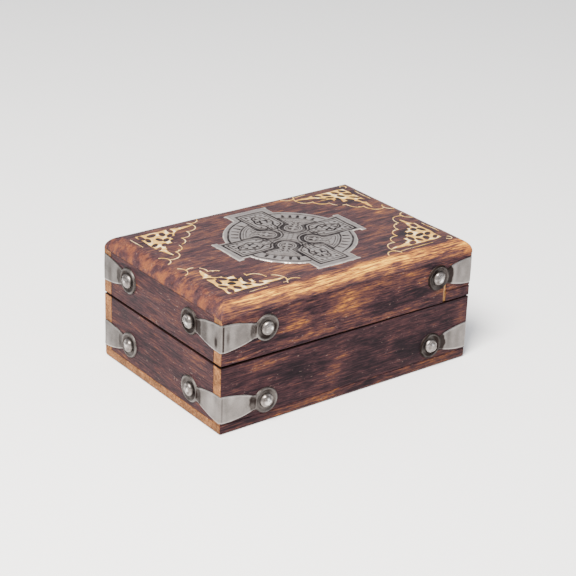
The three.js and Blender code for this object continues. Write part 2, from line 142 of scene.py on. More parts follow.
def blank_material(name: str) -> tuple[bpy.types.Material, bpy.types.NodeTree, bpy.types.Node]:
    """Makes a material with one Principled shader on its output.

    Args:
        name: The material's name.

    Returns:
        The material, its node tree and the shader.
    """
    material = bpy.data.materials.new(name)
    material.use_nodes = True
    tree = material.node_tree
    tree.nodes.clear()
    shader = node(tree, "BsdfPrincipled")
    node(tree, "OutputMaterial", {"Surface": shader})
    return material, tree, shader


def painted(ramp: bpy.types.Node, stops: Stops) -> bpy.types.Node:
    """Lays colours along a ramp.

    Args:
        ramp: The ramp's node.
        stops: Places from 0 to 1 with their sRGB hex colours.

    Returns:
        The same node.
    """
    elements = ramp.color_ramp.elements
    while len(elements) < len(stops):
        elements.new(1.0)
    for element, (place, colour) in zip(elements, stops):
        element.position = place
        element.color = linear(colour)
    return ramp


def turned_to(corner: str, x: Any, y: Any) -> tuple[Any, Any]:
    """Turns x and y from the front left corner's way to another corner's: (c x - s y, s x + c y)."""
    turn = math.radians(CORNERS[corner][2])
    c, s = round(math.cos(turn)), round(math.sin(turn))
    return c * x - s * y, s * x + c * y


def smooth_step(value: Array, low: float, high: float) -> Array:
    """Rises from 0 at low to 1 at high along 3t^2 - 2t^3."""
    t = np.clip((value - low) / (high - low), 0.0, 1.0)
    return t * t * (3 - 2 * t)


def hand_noise(x: Array, y: Array, pitch: float, seed: int) -> Array:
    """Smooth unevenness: random heights on a square lattice, joined by the smooth step.

    Args:
        x: First coordinate, in mm.
        y: Second coordinate, in mm.
        pitch: Spacing of the lattice, in mm.
        seed: Which random lattice.

    Returns:
        Values from -1 to 1.
    """
    size = 64
    table = np.random.default_rng(seed).uniform(-1, 1, (size, size))
    gx, gy = x / pitch + size / 2, y / pitch + size / 2
    ix, iy = np.floor(gx).astype(int), np.floor(gy).astype(int)
    fx, fy = smooth_step(gx - ix, 0, 1), smooth_step(gy - iy, 0, 1)
    a, b = table[iy % size, ix % size], table[iy % size, (ix + 1) % size]
    c, d = table[(iy + 1) % size, ix % size], table[(iy + 1) % size, (ix + 1) % size]
    return (a * (1 - fx) + b * fx) * (1 - fy) + (c * (1 - fx) + d * fx) * fy


def softer(a: Array, b: Array, reach: float) -> Array:
    """The lower of two fields, blended over reach: min(a, b) - reach/4 * max(1 - |a - b|/reach, 0)^2."""
    return np.minimum(a, b) - reach / 4 * np.maximum(1 - np.abs(a - b) / reach, 0) ** 2


def stroke(distance: Array, width: float, soft: float = 0.16) -> Array:
    """A line along distance = 0: 1 inside half the width, falling to 0 over soft."""
    return np.clip((width / 2 + soft - np.abs(distance)) / (2 * soft), 0.0, 1.0)


def inside(distance: Array, soft: float = 0.16) -> Array:
    """1 where distance is negative, falling to 0 over soft on each side of its edge."""
    return np.clip(0.5 - distance / (2 * soft), 0.0, 1.0)


def make_piece(name: str, vertices: Array, faces: Sequence[Array], marks: dict[str, Array] | None = None,
               crease: float = 40.0) -> bpy.types.Object:
    """Writes arrays to a new mesh object at the origin.

    Args:
        name: The piece's name.
        vertices: Points in mm, one row each.
        faces: Arrays of vertex numbers, each with three or four to a row.
        marks: Named values, one for each vertex, that materials read.
        crease: Edges sharper than this many degrees stay sharp.

    Returns:
        The object.
    """
    mesh = bpy.data.meshes.new(name)
    counts = np.concatenate([np.full(len(f), f.shape[1]) for f in faces])
    corners = np.concatenate([f.ravel() for f in faces]).astype(np.int32)
    mesh.vertices.add(len(vertices))
    mesh.vertices.foreach_set("co", (vertices * MM).astype(np.float32).ravel())
    mesh.loops.add(len(corners))
    mesh.loops.foreach_set("vertex_index", corners)
    mesh.polygons.add(len(counts))
    mesh.polygons.foreach_set("loop_start", np.concatenate([[0], np.cumsum(counts)[:-1]]).astype(np.int32))
    mesh.update(calc_edges=True)
    for mark, values in (marks or {}).items():
        mesh.attributes.new(mark, "FLOAT", "POINT").data.foreach_set("value", values.astype(np.float32))
    mesh.shade_smooth()
    mesh.set_sharp_from_angle(angle=math.radians(crease))
    piece = bpy.data.objects.new(name, mesh)
    bpy.context.scene.collection.objects.link(piece)
    return piece


def settle(piece: bpy.types.Object, body: str, material: bpy.types.Material,
           nodes: Sequence[str] = ()) -> bpy.types.Object:
    """Dresses a piece and ties it to the model.

    Args:
        piece: The new piece.
        body: The body it rides on.
        material: Its finish.
        nodes: The CAD nodes that it stands for.

    Returns:
        The piece.
    """
    piece.data.materials.clear()
    piece.data.materials.append(material)
    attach(piece, body)
    if nodes:
        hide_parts(*nodes)
    return piece


def sound_cells(kept: Array, least: int = 40) -> Array:
    """Fills cells where two kept ones touch only at a corner, and clears loose crumbs.

    To find the crumbs, every kept cell starts with its own number and takes the highest one among itself and
    its kept neighbours, until nothing changes. Each patch then has one number.

    Args:
        kept: Which cells of the grid are kept.
        least: The fewest cells in a patch that stays.

    Returns:
        The mended cells.
    """
    kept = kept.copy()
    while True:
        a, b, c, d = kept[:-1, :-1].copy(), kept[:-1, 1:].copy(), kept[1:, :-1].copy(), kept[1:, 1:].copy()
        falling, rising = a & d & ~b & ~c, b & c & ~a & ~d
        if not (falling | rising).any():
            break
        kept[:-1, 1:] |= falling
        kept[:-1, :-1] |= rising
    patch = np.where(kept, np.arange(1, kept.size + 1).reshape(kept.shape), 0)
    while True:
        framed = np.pad(patch, 1)
        beside = [framed[:-2, 1:-1], framed[2:, 1:-1], framed[1:-1, :-2], framed[1:-1, 2:]]
        spread = np.maximum.reduce([patch, *beside]) * kept
        if (spread == patch).all():
            break
        patch = spread
    return kept & (np.bincount(patch.ravel())[patch] >= least)


def cut_plate(low: Sequence[float], high: Sequence[float], step: float, outline: Field,
              top: Field, bottom: float) -> tuple[Array, Array, Array]:
    """A plate cut to an outline, on a square grid.

    Cells whose middle has outline < 0 are kept, once sound_cells() has mended them. A point on the rim moves
    by -f * grad f / |grad f|^2, so that it lies on outline = 0. The upper face is at top(x, y) and the lower
    one is flat.

    Args:
        low: Least x and y.
        high: Greatest x and y.
        step: Grid spacing in mm.
        outline: Signed distance to the edge, negative inside.
        top: Height of the upper face.
        bottom: Height of the lower face.

    Returns:
        Points in mm, faces of four, and for each point 1 on the upper face or 0 on the lower.
    """
    xs = np.arange(low[0], high[0] + step / 2, step)
    ys = np.arange(low[1], high[1] + step / 2, step)
    x, y = np.meshgrid(xs, ys)
    core = sound_cells(outline(x[:-1, :-1] + step / 2, y[:-1, :-1] + step / 2) < 0)
    kept = np.pad(core, 1)
    number = np.arange(x.size).reshape(x.shape)
    a, b, c, d = (n[core] for n in (number[:-1, :-1], number[:-1, 1:], number[1:, 1:], number[1:, :-1]))
    upper = np.stack([a, b, c, d], 1)
    walls = []
    for other, start, end in (
        (kept[:-2, 1:-1], number[:-1, :-1], number[:-1, 1:]),
        (kept[1:-1, 2:], number[:-1, 1:], number[1:, 1:]),
        (kept[2:, 1:-1], number[1:, 1:], number[1:, :-1]),
        (kept[1:-1, :-2], number[1:, :-1], number[:-1, :-1]),
    ):
        edge = core & ~other
        walls.append(np.stack([start[edge], end[edge]], 1))
    rim = np.concatenate(walls)
    px, py = x.ravel().copy(), y.ravel().copy()
    on_rim = np.unique(rim)
    for _ in range(2):
        rx, ry = px[on_rim], py[on_rim]
        f = outline(rx, ry)
        gx = (outline(rx + 0.05, ry) - outline(rx - 0.05, ry)) / 0.1
        gy = (outline(rx, ry + 0.05) - outline(rx, ry - 0.05)) / 0.1
        size = np.maximum(gx**2 + gy**2, 0.3)
        px[on_rim] = rx - np.clip(f * gx / size, -0.6 * step, 0.6 * step)
        py[on_rim] = ry - np.clip(f * gy / size, -0.6 * step, 0.6 * step)
    used = np.unique(upper)
    place = np.full(x.size, -1)
    place[used] = np.arange(len(used))
    count = len(used)
    points = np.concatenate([
        np.stack([px[used], py[used], top(px[used], py[used])], 1),
        np.stack([px[used], py[used], np.full(count, bottom)], 1),
    ])
    upper, rim = place[upper], place[rim]
    sides = np.stack([rim[:, 0], rim[:, 0] + count, rim[:, 1] + count, rim[:, 1]], 1)
    faces = np.concatenate([upper, upper[:, ::-1] + count, sides])
    return points, faces, np.repeat([1.0, 0.0], count)


def turned_shape(profile: Array, sides: int) -> tuple[Array, Array, Array]:
    """A closed solid of revolution: point (r, t) of the profile goes to (r cos t, r sin t, z).

    Args:
        profile: Radius and height, from the top of the axis down to the bottom of it, without the two poles.
        sides: How many points go round.

    Returns:
        Points in mm with the two poles last, the faces of four, and the faces of three at the poles.
    """
    angle = np.linspace(0, 2 * np.pi, sides, endpoint=False)
    rings = len(profile)
    r, z = profile[:, :1], profile[:, 1:]
    body = np.stack([r * np.cos(angle), r * np.sin(angle), z + 0 * angle], -1).reshape(-1, 3)
    points = np.concatenate([body, [[0, 0, profile[0, 1]], [0, 0, profile[-1, 1]]]])
    i, j = np.meshgrid(np.arange(rings - 1), np.arange(sides), indexing="ij")
    k = (j + 1) % sides
    quads = np.stack([i * sides + j, (i + 1) * sides + j, (i + 1) * sides + k, i * sides + k], -1).reshape(-1,
                                                                                                           4)
    j = np.arange(sides)
    k = (j + 1) % sides
    top, bottom = rings * sides, rings * sides + 1
    caps = np.concatenate([
        np.stack([np.full(sides, top), j, k], 1),
        np.stack([np.full(sides, bottom), (rings - 1) * sides + k, (rings - 1) * sides + j], 1),
    ])
    return points, quads, caps


def eased_copy(source: str, name: str, ease: float,
               move: Callable[[Array], Array] | None = None) -> bpy.types.Object:
    """Copies a CAD node and rounds its edges.

    Args:
        source: The CAD node.
        name: The new piece's name.
        ease: Width of the rounding, in mm.
        move: Shifts the points, given and returned in mm.

    Returns:
        The new piece, with a Bevel modifier.
    """
    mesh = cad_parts[source].data.copy()
    mesh.name = name
    work = bmesh.new()
    work.from_mesh(mesh)
    bmesh.ops.remove_doubles(work, verts=work.verts, dist=1e-6)
    bmesh.ops.dissolve_limit(work, angle_limit=math.radians(1.0), verts=work.verts, edges=work.edges)
    work.to_mesh(mesh)
    work.free()
    if move is not None:
        points = np.zeros(len(mesh.vertices) * 3, np.float32)
        mesh.vertices.foreach_get("co", points)
        moved = move(points.reshape(-1, 3).astype(float) / MM) * MM
        mesh.vertices.foreach_set("co", moved.astype(np.float32).ravel())
    mesh.update()
    mesh.shade_smooth()
    mesh.set_sharp_from_angle(angle=math.radians(30))
    piece = bpy.data.objects.new(name, mesh)
    bpy.context.scene.collection.objects.link(piece)
    bevel = piece.modifiers.new("eased_edges", "BEVEL")
    bevel.width = ease * MM
    bevel.segments = 2
    bevel.limit_method = "ANGLE"
    bevel.angle_limit = math.radians(40)
    return piece


# ---- Finishes ----


@dataclass(frozen=True)
class StainPatch:
    """A soft-edged ellipsoid where the stain is rubbed warmer, or soaked in darker."""

    centre: tuple[float, float, float]
    radii: tuple[float, float, float]
    warmth: float


@dataclass(frozen=True)
class StainedMangoWood:
    """Mango wood, dark stained, rubbed back along the edges and waxed.

    The eye gets a purple-brown ground with streaks of orange where the stain was rubbed, pale end grain, fine
    pores, and a soft waxy sheen. Along the front of the top's round edge a golden highlight is painted, and the
    rims are painted black with shade where the halves meet. Inside, and in fresh saw cuts, the wood is raw.
    """

    name: str
    grain: Grain
    base_warmth: float = 0.4
    patches: tuple[StainPatch, ...] = ()
    round_edge: bool = False
    roughness: float = 0.4
    sheen: float = 0.05
    contrast: float = 1.0
    depth: float = 1.0
    stops: tuple[tuple[float, str], ...] = (
        (0.0, "#0a070b"), (0.22, "#1f141a"), (0.42, "#40282b"),
        (0.6, "#68412f"), (0.78, "#ad6c29"), (1.0, "#f2b536"),
    )

    def noise(self, tree: bpy.types.NodeTree, place: Feed, along: float, across: float,
              detail: float | None = None) -> bpy.types.Node:
        """Noise drawn out along the grain: the place is divided by along on one axis, by across on the others.

        Args:
            tree: The node tree.
            place: Object coordinates in mm.
            along: Length of one feature along the grain, in mm.
            across: Its width, in mm.
            detail: How many finer layers lie on it. None gives the plain, slow noise that bends the grain.

        Returns:
            The noise's node.
        """
        long_axis = "y" if self.grain is Grain.ALONG_Y else "x"
        scale = [1 / along if axis == long_axis else 1 / across for axis in "xyz"]
        stretched = node(tree, "VectorMath", (place, scale), operation="MULTIPLY")
        layers = {"Detail": 1.0} if detail is None else {"Detail": detail, "Roughness": 0.6}
        return node(tree, "TexNoise", {"Vector": stretched, "Scale": 1.0, **layers})

    def build(self) -> bpy.types.Material:
        """Makes the material.

        Returns:
            The material.
        """
        material, tree, shader = blank_material(self.name)
        add = partial(node, tree)

        coords = add("TexCoord").outputs["Object"]
        place = add("VectorMath", {0: coords, "Scale": 1 / MM}, operation="SCALE")
        x, y, z = add("SeparateXYZ", (place,)).outputs
        if self.grain is Grain.ROUND_CORNER:
            turned = add("CombineXYZ", (y, x, z))
            behind = add("MapRange", (y, -50.4, -50.2, 0.0, 1.0), **SOFT_ENDS)
            place = add("Mix", {0: behind, 4: place, 5: turned}, data_type="VECTOR")
        wander = self.noise(tree, place, 34, 15).outputs["Color"]
        sway = add("VectorMath", (wander, (-0.5, -0.5, -0.5)), operation="ADD")
        sway = add("VectorMath", {0: sway, "Scale": 2.4}, operation="SCALE")
        bent = add("VectorMath", (place, sway), operation="ADD")

        # Growth streaks are 1 mm wide, and the fibres, really 0.2 mm, are drawn 0.4 mm wide so that they show.
        streaks = self.noise(tree, bent, 14, 0.75, 3)
        figure = self.noise(tree, bent, 34, 3.6, 3)
        cloud = self.noise(tree, bent, 12, 6.0, 5)
        fine = self.noise(tree, bent, 5.0, 0.42, 2)
        pores = self.noise(tree, bent, 3.4, 0.4, 1)

        lines = self.contrast
        if self.round_edge:
            # Sawn across, at the round edge's ends, the streaks are only dots.
            ends_x = add("Math", (x,), operation="ABSOLUTE")
            lines = add("MapRange", (ends_x, 70, 75, self.contrast, 0.4), **SOFT_ENDS)
        swing = add("Math", (cloud, 0.5), operation="SUBTRACT")
        tone = add("Math", (swing, 0.68 * self.contrast, self.base_warmth), operation="MULTIPLY_ADD")
        for grain, strength in ((streaks, 0.8), (figure, 0.5), (fine, 0.8)):
            swing = add("Math", (grain, 0.5), operation="SUBTRACT")
            swing = add("Math", (swing, strength), operation="MULTIPLY")
            swing = add("Math", (swing, lines), operation="MULTIPLY")
            tone = add("Math", (swing, tone), operation="ADD")
        for patch in self.patches:
            local = add("Mapping", {"Vector": bent, "Location": patch.centre, "Scale": patch.radii},
                        vector_type="TEXTURE")
            ball = add("TexGradient", (local,), gradient_type="SPHERICAL").outputs["Fac"]
            tone = add("Math", (ball, patch.warmth, tone), operation="MULTIPLY_ADD")
        if self.round_edge:
            # Rubbed nearly bare along the front of the round edge, with a painted golden highlight on the streaks
            # there, and rubbed in blotches over its end grain.
            blotch = add("MapRange", (self.noise(tree, bent, 9, 7.0, 4), 0.4, 0.62, 0.0, 1.0), **SOFT_ENDS)
            near_front = add("MapRange", (y, -43.6, -46.6, 0.0, 1.0), **SOFT_ENDS)
            on_round = add("MapRange", (z, 58.4, 63.6, 0.3, 1.0), **SOFT_ENDS)
            front = add("Math", (near_front, on_round), operation="MULTIPLY")
            off_corner = add("MapRange", (x, -76, -58, 0.35, 1.0), **SOFT_ENDS)
            front = add("Math", (front, off_corner), operation="MULTIPLY")
            on_streaks = add("MapRange", (streaks, 0.32, 0.6, 0.45, 1.1), **SOFT_ENDS)
            front = add("Math", (front, on_streaks), operation="MULTIPLY")
            tone = add("Math", (front, 0.39, tone), operation="MULTIPLY_ADD")
            ends_x = add("Math", (x,), operation="ABSOLUTE")
            near_end = add("MapRange", (ends_x, 68.6, 72.5, 0.0, 1.0), **SOFT_ENDS)
            ends = add("Math", (near_end, blotch), operation="MULTIPLY")
            tone = add("Math", (ends, 0.16, tone), operation="MULTIPLY_ADD")
        tone = add("Math", (tone, 0.0), operation="ADD", use_clamp=True)
        colour = painted(add("ValToRGB", (tone,)), self.stops)
        if self.round_edge:
            # End grain drinks the wax and glows orange.
            glow = add("Math", (ends, 0.3), operation="MULTIPLY")
            colour = add("Mix", {0: glow, 6: colour, 7: linear("#84441b")}, **COLOURS)
        colour = add("VectorMath", {0: colour, "Scale": self.depth}, operation="SCALE")

        ax, ay = (add("Math", (value,), operation="ABSOLUTE") for value in (x, y))
        if self.grain is Grain.ALONG_X and not self.round_edge:
            # Sawn ends show pale between the edges of the side boards.
            speck = add("ValToRGB", (self.noise(tree, place, 1.1, 1.1, 3),))
            painted(speck, ((0.25, "#50321b"), (0.5, "#7e5333"), (0.75, "#a57547")))
            smoked = add("MapRange", (cloud, 0.36, 0.64, 0.55, 1.0), **SOFT_ENDS)
            speck = add("VectorMath", {0: speck, "Scale": smoked}, operation="SCALE")
            sawn = add("MapRange", (ax, 75.80, 75.93, 0.0, 1.0), **SOFT_ENDS)
            colour = add("Mix", {0: sawn, 6: colour, 7: speck}, **COLOURS)
        dark_pore = add("MapRange", (pores, 0.60, 0.72, 0.0, 0.55), **SOFT_ENDS)
        colour = add("Mix", {0: dark_pore, 6: colour, 7: linear("#1d1013")}, **COLOURS)
        # Knocks and scuffs a millimetre or two long have gone pale in the wax.
        knocks = add("MapRange", (self.noise(tree, place, 2.2, 0.7, 2), 0.64, 0.72, 0.0, 0.34), **SOFT_ENDS)
        on_figure = add("MapRange", (figure, 0.44, 0.6, 0.0, 1.0), **SOFT_ENDS)
        scuffs = add("Math", (knocks, on_figure), operation="MULTIPLY")
        colour = add("Mix", {0: scuffs, 6: colour, 7: linear("#9a8378")}, **COLOURS)

        # Bare wood: inside the box, under the lid, and at the bottom of the saw cut.
        swing = add("Math", (streaks, 0.5), operation="SUBTRACT")
        slow_swing = add("Math", (figure, 0.5), operation="SUBTRACT")
        bare_tone = add("Math", (slow_swing, 0.8, 0.5), operation="MULTIPLY_ADD")
        bare_tone = add("Math", (swing, 0.9, bare_tone), operation="MULTIPLY_ADD")
        bare = painted(add("ValToRGB", (bare_tone,)), ((0.2, "#72502f"), (0.5, "#997249"), (0.8, "#b99067")))
        ragged = add("Math", (cloud, 0.5), operation="SUBTRACT")
        ragged = add("Math", (ragged, 0.8), operation="MULTIPLY")
        edge_x, edge_y = (add("Math", (value, ragged), operation="ADD") for value in (ax, ay))
        within_x = add("MapRange", (edge_x, 75.3, 75.6, 1.0, 0.0), **SOFT_ENDS)
        within_y = add("MapRange", (edge_y, 49.85, 50.15, 1.0, 0.0), **SOFT_ENDS)
        hidden = add("Math", (within_x, within_y), operation="MULTIPLY")
        above_floor = add("MapRange", (z, 0.7, 1.1, 0.0, 1.0), **SOFT_ENDS)
        below_top = add("MapRange", (z, 58.2, 58.45, 1.0, 0.0), **SOFT_ENDS)
        within_z = add("Math", (above_floor, below_top), operation="MULTIPLY")
        hidden = add("Math", (hidden, within_z), operation="MULTIPLY")
        colour = add("Mix", {0: hidden, 6: colour, 7: bare}, **COLOURS)

        # The rims are stained, and painted black with shade where the halves meet, in the gap between them.
        slope, start = -0.5 * RIM_FALL / HALF_LENGTH, LID_RIM + RIM_LIFT - 0.5 * RIM_FALL
        lid_rim = add("Math", (x, slope, start), operation="MULTIPLY_ADD")
        above_base, above_lid = (add("Math", (z, rim), operation="SUBTRACT") for rim in (BASE_RIM, lid_rim))
        to_base, to_lid = (add("Math", (gap,), operation="ABSOLUTE") for gap in (above_base, above_lid))
        to_rim = add("Math", (to_base, to_lid), operation="MINIMUM")
        seam_stain_and_shade = add("MapRange", (to_rim, 0.1, 0.4, 0.96, 0.0), **SOFT_ENDS)
        colour = add("Mix", {0: seam_stain_and_shade, 6: colour, 7: linear("#120809")}, **COLOURS)

        relief = add("Math", (fine, 0.35, streaks), operation="MULTIPLY_ADD")
        relief = add("Math", (pores, -0.6, relief), operation="MULTIPLY_ADD")
        bump = add("Bump", {"Strength": 0.5, "Distance": 0.00012, "Height": relief})
        dull = add("Math", (fine, 0.12, self.roughness), operation="MULTIPLY_ADD")
        swing = add("Math", (cloud, 0.5), operation="SUBTRACT")
        dull = add("Math", (swing, 0.35, dull), operation="MULTIPLY_ADD")
        dull = add("Math", (hidden, 0.25, dull), operation="MULTIPLY_ADD")
        if self.round_edge:
            # Only the flat top is polished; its round edge is nearly as matt as the walls.
            matt = add("MapRange", (z, 61.0, 64.9, 0.35, 0.0), **SOFT_ENDS)
            dull = add("Math", (dull, matt), operation="ADD")
        feed(tree, shader, {"Base Color": colour, "Roughness": dull, "Normal": bump, "IOR": 1.46,
                            "Specular IOR Level": self.sheen})
        return material


@dataclass(frozen=True)
class WornMetal:
    """Sheet or cast metal, worn bright on what stands proud and dark where polish never reaches.

    The mark named by grime_and_painted_light, if any, is 0 on bright metal, 1 for black, from age and from painted
    shade, and -1 for pale, from rubbing and from painted highlights.
    """

    name: str
    bright: str
    dull: str
    aged_and_shaded: str = "#2c2826"
    polished_and_highlit: str = "#e8e4e0"
    grime_and_painted_light: str = ""
    roughness: float = 0.34
    metallic: float = 1.0
    mottle: float = 4.0
    scratches: float = 0.5

    def build(self) -> bpy.types.Material:
        """Makes the material: mottled tarnish, fine scratches, and grime, painted shade and painted highlights
        from the piece's own mark.

        Returns:
            The material.
        """
        material, tree, shader = blank_material(self.name)
        add = partial(node, tree)
        coords = add("TexCoord").outputs["Object"]
        place = add("VectorMath", {0: coords, "Scale": 1 / MM}, operation="SCALE")
        cloud = add("TexNoise", {"Vector": place, "Scale": 1 / self.mottle, "Detail": 4.0, "Roughness": 0.6})
        grit = add("TexNoise", {"Vector": place, "Scale": 2.2, "Detail": 2.0})
        drawn = add("Mapping", {"Vector": place, "Rotation": (0.5, 0.3, 0.7), "Scale": (0.12, 2.6, 2.6)})
        scratch = add("TexNoise", {"Vector": drawn, "Scale": 1.0, "Detail": 2.0})
        colour = painted(add("ValToRGB", (cloud,)), ((0.3, self.dull), (0.62, self.bright)))
        rough = add("MapRange", (cloud, 0.3, 0.7, self.roughness + 0.12, self.roughness - 0.06))
        rough = add("Math", (scratch, 0.2 * self.scratches, rough), operation="MULTIPLY_ADD")
        height = add("Math", (scratch, self.scratches, grit), operation="MULTIPLY_ADD")
        if self.grime_and_painted_light:
            mark = add("Attribute", attribute_name=self.grime_and_painted_light).outputs["Fac"]
            edge = add("Math", (grit, 0.3, mark), operation="MULTIPLY_ADD")
            black = add("MapRange", (edge, 0.17, 1.1, 0.0, 1.0))
            colour = add("Mix", {0: black, 6: colour, 7: linear(self.aged_and_shaded)}, **COLOURS)
            rough = add("Math", (black, 0.3, rough), operation="MULTIPLY_ADD")
            rubbed = add("MapRange", (mark, -0.1, -0.9, 0.0, 1.0))
            colour = add("Mix", {0: rubbed, 6: colour, 7: linear(self.polished_and_highlit)}, **COLOURS)
        bump = add("Bump", {"Strength": 0.25, "Distance": 0.00006, "Height": height})
        feed(tree, shader,
             {"Base Color": colour, "Roughness": rough, "Normal": bump, "Metallic": self.metallic})
        return material


# ---- Wooden boards ----


def fit_lid_wall(points: Array) -> Array:
    """Tilts the lid's rim, so that the seam opens to the left, and lets the walls' tops into the top board.

    On the rim, dz = lift - fall * t, where t goes from 0 at the left end to 1 at the right. The tops rise
    evenly.

    Args:
        points: Points in mm.

    Returns:
        The moved points.
    """
    rim_below, top_above, let_in = 35.5, 57.9, 0.35
    moved = points.copy()
    low = moved[:, 2] < rim_below
    moved[low, 2] += RIM_LIFT - RIM_FALL * (moved[low, 0] + HALF_LENGTH) / (2 * HALF_LENGTH)
    moved[moved[:, 2] > top_above, 2] += let_in
    return moved


@dataclass
class Carcass:
    """The boards of the base and the lid's walls: copies of the CAD boards with their edges eased by hand."""

    ease: float = 0.35
    side_patches: tuple[StainPatch, ...] = (
        StainPatch((-76, 24, 50), (6, 17, 6), 0.12),
        StainPatch((-76, -5, 46), (6, 22, 8), 0.06),
        StainPatch((-76, -28, 30), (6, 12, 6), 0.1),
        StainPatch((-76, 0, 20), (6, 28, 12), -0.08),
    )
    lid_patches: tuple[StainPatch, ...] = (
        StainPatch((-2, -50.5, 50), (16, 6, 10), 0.22),
        StainPatch((-32, -50.5, 45), (8, 6, 12), 0.08),
        StainPatch((24, -50.5, 54), (26, 6, 5), 0.13),
        StainPatch((30, -50.5, 44), (30, 6, 7), -0.16),
        StainPatch((-60, -50.5, 38), (14, 6, 5), -0.12),
        StainPatch((-48, -50.5, 56), (18, 6, 5), -0.1),
    )
    base_patches: tuple[StainPatch, ...] = (
        StainPatch((-48, -50.5, 29), (14, 6, 4), 0.24),
        StainPatch((-7, -50.5, 17), (9, 6, 9), 0.16),
        StainPatch((-34, -50.5, 22), (22, 6, 10), -0.16),
        StainPatch((40, -50.5, 15), (16, 6, 12), -0.12),
        StainPatch((72, -50.5, 24), (7, 6, 9), 0.22),
    )

    def build(self) -> list[bpy.types.Object]:
        """Builds and dresses the nine boards.

        Returns:
            The boards.
        """
        floor = StainedMangoWood("stained_mango_wood_floor", Grain.ALONG_X, 0.4, depth=0.68).build()
        base_long = StainedMangoWood("stained_mango_wood_base_front", Grain.ALONG_X, 0.31, self.base_patches,
                                     contrast=0.7, depth=0.77).build()
        lid_long = StainedMangoWood("stained_mango_wood_lid_front", Grain.ALONG_X, 0.385, self.lid_patches,
                                    contrast=0.92, depth=0.83).build()
        side = StainedMangoWood("stained_mango_wood_sides", Grain.ALONG_Y, 0.36, self.side_patches,
                                contrast=0.66, depth=0.78).build()
        made = [settle(eased_copy("bottom_board", "floor_board", 0.5), "base", floor,
                       ["bottom_board"])]
        for half, long_finish, move in (("base", base_long, None), ("lid", lid_long, fit_lid_wall)):
            for face in ("front", "back", "left", "right"):
                source = f"{half}_{face}_wall"
                finish = long_finish if face in ("front", "back") else side
                board = eased_copy(source, f"{half}_{face}_board", self.ease, move)
                made.append(settle(board, half, finish, [source]))
        return made


@dataclass
class TopBoard:
    """The lid's top board, with a wide round edge."""

    round_reach: float = 8.0
    round_drop: float = 6.4
    flat_pitch: float = 1.2
    arc_points: int = 15
    lower_ease: float = 0.12
    patches: tuple[StainPatch, ...] = (
        StainPatch((-24, -30, 65), (22, 9, 8), 0.26),
        StainPatch((-66, -12, 65), (10, 18, 6), 0.14),
        StainPatch((26, 42, 65), (14, 6, 8), 0.22),
        StainPatch((62, 6, 65), (14, 14, 8), 0.14),
        StainPatch((66, -22, 65), (12, 9, 6), -0.1),
        StainPatch((-40, 10, 65), (16, 20, 8), 0.06),
        StainPatch((20, -45, 65), (34, 4, 4), 0.1),
        StainPatch((-56, -31, 65), (13, 11, 8), -0.3),
        StainPatch((56, -31, 65), (13, 11, 8), -0.3),
        StainPatch((-56, 31, 65), (13, 11, 8), -0.3),
        StainPatch((56, 31, 65), (13, 11, 8), -0.3),
    )

    def spread(self, half: float) -> Array:
        """Places from -half to half: even on the flat, and reach * (1 - cos t) from each end on the round."""
        t = np.linspace(0, np.pi / 2, self.arc_points)[:-1]
        edge = self.round_reach * (1 - np.cos(t))
        pieces = round((2 * half - 2 * self.round_reach) / self.flat_pitch)
        flat = np.linspace(self.round_reach, 2 * half - self.round_reach, pieces + 1)
        return np.concatenate([edge, flat, 2 * half - edge[::-1]]) - half

    def height(self, x: Array, y: Array) -> Array:
        """Height over x and y: the lower of shoulder + drop * sqrt(1 - a^2) along x and along y.

        Here a is 1 - (distance to the edge) / reach, or 0 on the flat.

        Args:
            x: Place along the box.
            y: Place across the box.

        Returns:
            Height in mm.
        """
        shoulder = TOP_HEIGHT - self.round_drop

        def one(place: Array, half: float) -> Array:
            """The round edge's height one way."""
            a = np.clip(1 - (half - np.abs(place)) / self.round_reach, 0, 1)
            return shoulder + self.round_drop * np.sqrt(np.maximum(1 - a * a, 0))

        z = np.minimum(one(x, HALF_LENGTH), one(y, HALF_DEPTH))
        worn = 0.22 * hand_noise(x, y, 17.0, 5) + 0.1 * hand_noise(x, y, 6.0, 6)
        return z + worn * smooth_step(TOP_HEIGHT - z, 0.0, 2.0) * smooth_step(z - shoulder, 0.0, 1.0)

    def build(self) -> bpy.types.Object:
        """Builds and dresses the board.

        Returns:
            The board.
        """
        xs, ys = self.spread(HALF_LENGTH), self.spread(HALF_DEPTH)
        x, y = np.meshgrid(xs, ys)
        rows, columns = x.shape
        count = x.size
        number = np.arange(count).reshape(rows, columns)
        upper = np.stack([number[:-1, :-1], number[:-1, 1:], number[1:, 1:], number[1:, :-1]], -1).reshape(-1,
                                                                                                           4)
        ring = np.concatenate([number[0, :-1], number[:-1, -1], number[-1, :0:-1], number[:0:-1, 0]])
        rim = np.stack([x.ravel()[ring], y.ravel()[ring], np.full(len(ring), LID_SHOULDER + self.lower_ease)],
                       1)
        shrink = np.array([1 - self.lower_ease / HALF_LENGTH, 1 - self.lower_ease / HALF_DEPTH])
        points = np.concatenate([
            np.stack([x.ravel(), y.ravel(), self.height(x, y).ravel()], 1),
            np.stack([x.ravel() * shrink[0], y.ravel() * shrink[1], np.full(count, LID_SHOULDER)], 1),
            rim,
        ])
        after = np.roll(ring, -1)
        band = 2 * count + np.arange(len(ring))
        band_after = np.roll(band, -1)
        sides = np.concatenate([
            np.stack([ring, band, band_after, after], 1),
            np.stack([band, ring + count, after + count, band_after], 1),
        ])
        piece = make_piece("lid_top", points, [upper, upper[:, ::-1] + count, sides], crease=55.0)
        finish = StainedMangoWood("stained_mango_wood_top", Grain.ALONG_X, 0.385, self.patches,
                                  round_edge=True,
                                  sheen=0.2, contrast=0.86, depth=0.91).build()
        return settle(piece, "lid", finish, ["lid_top_board"])


# ---- Corner straps and nails ----


@dataclass(frozen=True)
class WingFit:
    """How one wing was bent and nailed: its disc's reach and climb, its neck's tarnish, and how much darker the
    whole wing is made.
    """

    reach: float
    climb: float
    tarnish: float
    wing_darkening: float = 0.0


